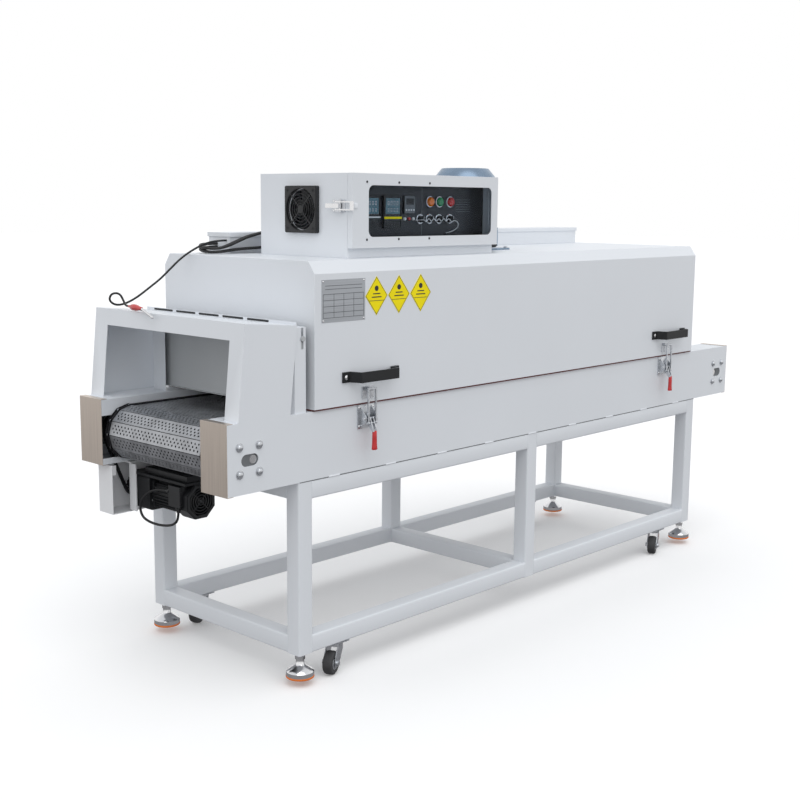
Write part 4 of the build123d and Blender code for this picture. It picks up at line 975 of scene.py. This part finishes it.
def side_fan():
    """Square guard with a ring grille, and the wheel behind it."""
    x, y, z = -775.0, -87.0, 1251.0
    guard = Shape()
    outer = [(y + u, z + v) for u, v in rounded(130, 130, 5, 9)]
    inner = [(y + u, z + v) for u, v in circle(58, 40)]
    guard.frame("X", outer, inner, x - 11, x)
    guard.frame("X", [(y + u, z + v) for u, v in rounded(126, 126, 5, 9)],
                [(y + u, z + v) for u, v in circle(60, 40)], x - 12, x - 11)
    for radius in (16, 25, 34, 43, 52):
        guard.torus("X", (x - 10, y, z), radius, 1.3, 48, 8)
    for k in range(4):
        guard.place = Matrix.Translation((x - 10, y, z)) @ Matrix.Rotation(pi / 4 + k * pi / 2, 4, "X")
        guard.box((-1.2, 1.2), (10, 60), (-1.5, 1.5))
    guard.place = Matrix.Identity(4)
    guard.rod("X", (x - 10, y, z), 12, 3.4, 0.8, 32)
    guard.rod("X", (x + 6, y, z), 3.0, 30, 0.3, 16)
    guard.done("cabinet_fan_guard.grille", "hood", "black_plastic", bevel=0.5,
               replaces=("cabinet_fan_guard",))
    corners = Shape()
    for dy in (-52, 52):
        for dz in (-52, 52):
            corners.rod("X", (x - 11.4, y + dy, z + dz), 3.2, 1.2, 0.4, 16)
    corners.done("cabinet_fan_guard.screws", "hood", "chain_steel")
    body = body_of_node["cabinet_fan_wheel"]
    wheel = Shape()
    wheel.lathe("X", (x, y, z), [(3.05, 0.2), (17.5, 0.2), (18, 0.8), (18, 15.5), (17, 16), (3.05, 16)],
                36, closed=True)
    for k in range(7):
        wheel.place = (Matrix.Translation((x + 8, y, z)) @ Matrix.Rotation(2 * pi * k / 7, 4, "X")
                       @ Matrix.Rotation(radians(32), 4, "Z"))
        rows = []
        for step in range(6):
            r = 16 + 34 * step / 5
            twist = radians(-16 + 26 * step / 5)
            half = 8.5 + 2.2 * step / 5
            rows.append([(half * sin(twist) + t, -half * cos(twist), r) for t in (-0.8, 0.8)]
                        + [(-half * sin(twist) + t, half * cos(twist), r) for t in (0.8, -0.8)])
        wheel.skin(rows)
    wheel.done("cabinet_fan_wheel.blades", body, "black_plastic", bevel=0.3, replaces=("cabinet_fan_wheel",))


def instruments():
    """Behind the window: a dark panel with controllers, lamps, selectors and a loose wire."""
    face = -232.0
    panel = Shape().box((-765, -443), (face, face + 2), (1127, 1342))
    panel.box((-441.4, -163), (face, face + 2), (1127, 1342))
    panel.done("panel_plate", "hood", "black_paint", material=DARK_PANEL, replaces=("instrument_panel",))
    # Painted shade: the seam between the panel plates and the short slits beside it are dark grey strips
    # standing for the shade in the gaps.
    seam = Shape().box((-443.2, -441.2), (face - 0.2, face + 1), (1127, 1342))
    for k in range(6):
        seam.box((-292, -222 - 6 * (k % 2)), (face - 0.3, face), (1246 + 7 * k, 1247.2 + 7 * k))
    seam.done("panel_seam", "hood", "black_paint", material=GREY_AND_PAINTED_SHADE)
    cases, screens, stripes, keys = Shape(), Shape(), Shape(), Shape()
    for cx in (-660.0, -573.0):
        cases.prism("Y", rounded(72, 92, 3, 3, (cx, 1246)), face - 7.5, face)
        cases.frame("Y", rounded(72, 92, 3, 3, (cx, 1246)), rounded(65, 85, 2, 3, (cx, 1246)),
                    face - 9, face - 7.5)
        screens.box((cx - 29, cx + 29), (face - 8.2, face - 7.5), (1240, 1284))
        for row, digits, size in ((1270, 4, 11), (1251, 4, 9)):
            for k in range(digits):
                spot = (cx - 18 + 12 * k, row)
                keys.frame("Y", rounded(size * 0.62, size, 1, 1, spot),
                           rounded(size * 0.38, size * 0.72, 0.8, 1, spot), face - 8.5, face - 8.2)
        for k in range(4):
            cases.box((cx - 27 + 14.5 * k, cx - 17 + 14.5 * k), (face - 8.6, face - 7.5), (1208, 1215))
    stripes.box((-609, -537), (face - 9.3, face - 9.0), (1226, 1232))
    whites = Shape().box((-696, -624), (face - 9.3, face - 9.0), (1229, 1233))
    for x in (-518, -482):
        whites.rod("Y", (x, face - 3, 1226), 4.6, 6, 0.8, 20)
    red = Shape().rod("Y", (-500, face - 3, 1226), 4.6, 6, 0.8, 20)
    cases.prism("Y", rounded(48, 52, 2.5, 3, (-500, 1266)), face - 6, face)
    grey = Shape().prism("Y", rounded(44, 48, 2, 3, (-500, 1266)), face - 6.8, face - 6)
    for k in range(4):
        whites.box((-518 + 10.5 * k, -513 + 10.5 * k), (face - 7.4, face - 6.8), (1249, 1253))
    cases.box((-516, -484), (face - 7.2, face - 6.8), (1266, 1284))
    cases.done("controller_cases", "hood", "black_plastic", bevel=0.3)
    screens.done("controller_screens", "hood", "display_blue")
    stripes.done("controller_stripe", "hood", "label_yellow")
    keys.done("controller_digits", "hood", "label_silver")
    whites.done("controller_keys", "hood", "white_plastic", bevel=0.2)
    red.done("controller_red_key", "hood", "lamp_red", bevel=0.2)
    grey.done("speed_controller_face", "hood", "label_silver", material=GREY_AND_PAINTED_SHADE, bevel=0.3)
    rings = Shape()
    lamp_ring = [(14.2, 0), (17, 0), (17, -3.5), (16, -5.6), (14.2, -6)]
    knob_ring = [(11, 0), (15, 0), (15, -3.4), (13.6, -5), (11, -5)]
    for cx in (-412, -370, -322):
        rings.lathe("Y", (cx, face, 1275), lamp_ring, 36, closed=True)
    for cx in (-453, -412, -370, -322):
        rings.lathe("Y", (cx, face, 1225), knob_ring, 36, closed=True)
    rings.done("panel_rings", "hood", "bright_steel")
    dome = [(0, 0), (14, 0), (14, -7), (13.4, -10), (11.5, -13), (8, -15.2), (4, -15.9), (0, -16)]
    for name, cx in (("lamp_orange", -412), ("lamp_green", -370), ("lamp_red", -322)):
        lens = Shape().lathe("Y", (cx, face, 1275), dome, 36)
        lens.done(f"{name}.lens", "hood", name, smooth=50)
    for number, cx in enumerate((-453, -412, -370, -322), 1):
        body = f"selector_knob_{number}"
        knob = Shape().rod("Y", (cx, face - 8, 1225), 9.0, 12, 0.8, 32)
        knob.box((cx - 3, cx + 3), (face - 19, face - 10), (1216, 1234))
        knob.rod("Y", (cx, face + 2, 1225), 4.0, 20, 0.3, 16)
        knob.done(f"{body}.grip", body, "black_plastic", bevel=0.7, replaces=(body,))
        mark = Shape().box((cx - 0.8, cx + 0.8), (face - 19.3, face - 19), (1226, 1233))
        mark.done(f"{body}.mark", body, "white_plastic")
    zigzag = [(-468, face, 1222), (-466, -243, 1222), (-458, -256, 1224)]
    zigzag += [(-450 + 11 * k, -257, 1222 + (7 if k % 2 else -6)) for k in range(11)]
    zigzag += [(-322, -256, 1222), (-306, -256, 1214), (-304, -254, 1202), (-316, -250, 1192),
               (-330, -243, 1186), (-334, face, 1184)]
    cable("panel_wire", zigzag, 2.4, "hood", slot="white_plastic")


drive_loop()
hood_handles()
clamps()
plates_on_hood()
hood_fan()
door()
side_fan()
instruments()
portal_vents()


# ---------------------------------------------------------------- floor and light

def sky():
    """White from the horizon up, a little softer overhead, and dim below."""
    world = bpy.data.worlds.new("studio")
    world.use_nodes = True
    nodes, links = world.node_tree.nodes, world.node_tree.links
    coords = nodes.new("ShaderNodeTexCoord")
    parts = nodes.new("ShaderNodeSeparateXYZ")
    links.new(coords.outputs["Generated"], parts.inputs["Vector"])
    height = nodes.new("ShaderNodeMapRange")
    height.inputs["From Min"].default_value = -1.0
    links.new(parts.outputs[2], height.inputs["Value"])
    ramp = nodes.new("ShaderNodeValToRGB")
    stops = ramp.color_ramp.elements
    stops[0].position, stops[0].color = 0.40, (0.27, 0.27, 0.28, 1)
    stops[1].position, stops[1].color = 1.0, (0.74, 0.76, 0.79, 1)
    for place in (0.455, 0.64):
        stops.new(place).color = (1, 1, 1, 1)
    links.new(height.outputs["Result"], ramp.inputs["Fac"])
    links.new(ramp.outputs["Color"], nodes["Background"].inputs["Color"])
    scene.world = world


def studio():
    """A plain pale floor under even white light, with one large soft lamp."""
    floor = Shape().box((-40000, 40000), (-40000, 40000), (-WHEEL_DROP - 20, -WHEEL_DROP))
    bmesh.ops.transform(floor.bm, matrix=TO_ROW, verts=floor.bm.verts)
    mesh = bpy.data.meshes.new("floor")
    floor.bm.to_mesh(mesh)
    ground = bpy.data.objects.new("floor", mesh)
    scene.collection.objects.link(ground)
    pale = finish("floor", (0.90, 0.90, 0.90), 0.9, vary=0.004, blotch=0.5, bump=0.0, specular=0.1)
    pale.node_tree.nodes["Principled BSDF"].inputs["Emission Color"].default_value = (1, 1, 1, 1)
    pale.node_tree.nodes["Principled BSDF"].inputs["Emission Strength"].default_value = 0.12
    mesh.materials.append(pale)
    ground.visible_diffuse = False
    ground.visible_glossy = False
    sky()
    sun = bpy.data.lights.new("sun", "SUN")
    sun.energy = 0.75
    sun.angle = radians(50)
    overhead = bpy.data.objects.new("sun", sun)
    overhead.rotation_mode = "QUATERNION"
    overhead.rotation_quaternion = Vector((0.25, 0.45, -1.0)).to_track_quat("-Z", "Y")
    scene.collection.objects.link(overhead)
    scene.view_settings.view_transform = "Standard"
    scene.view_settings.look = "None"


studio()
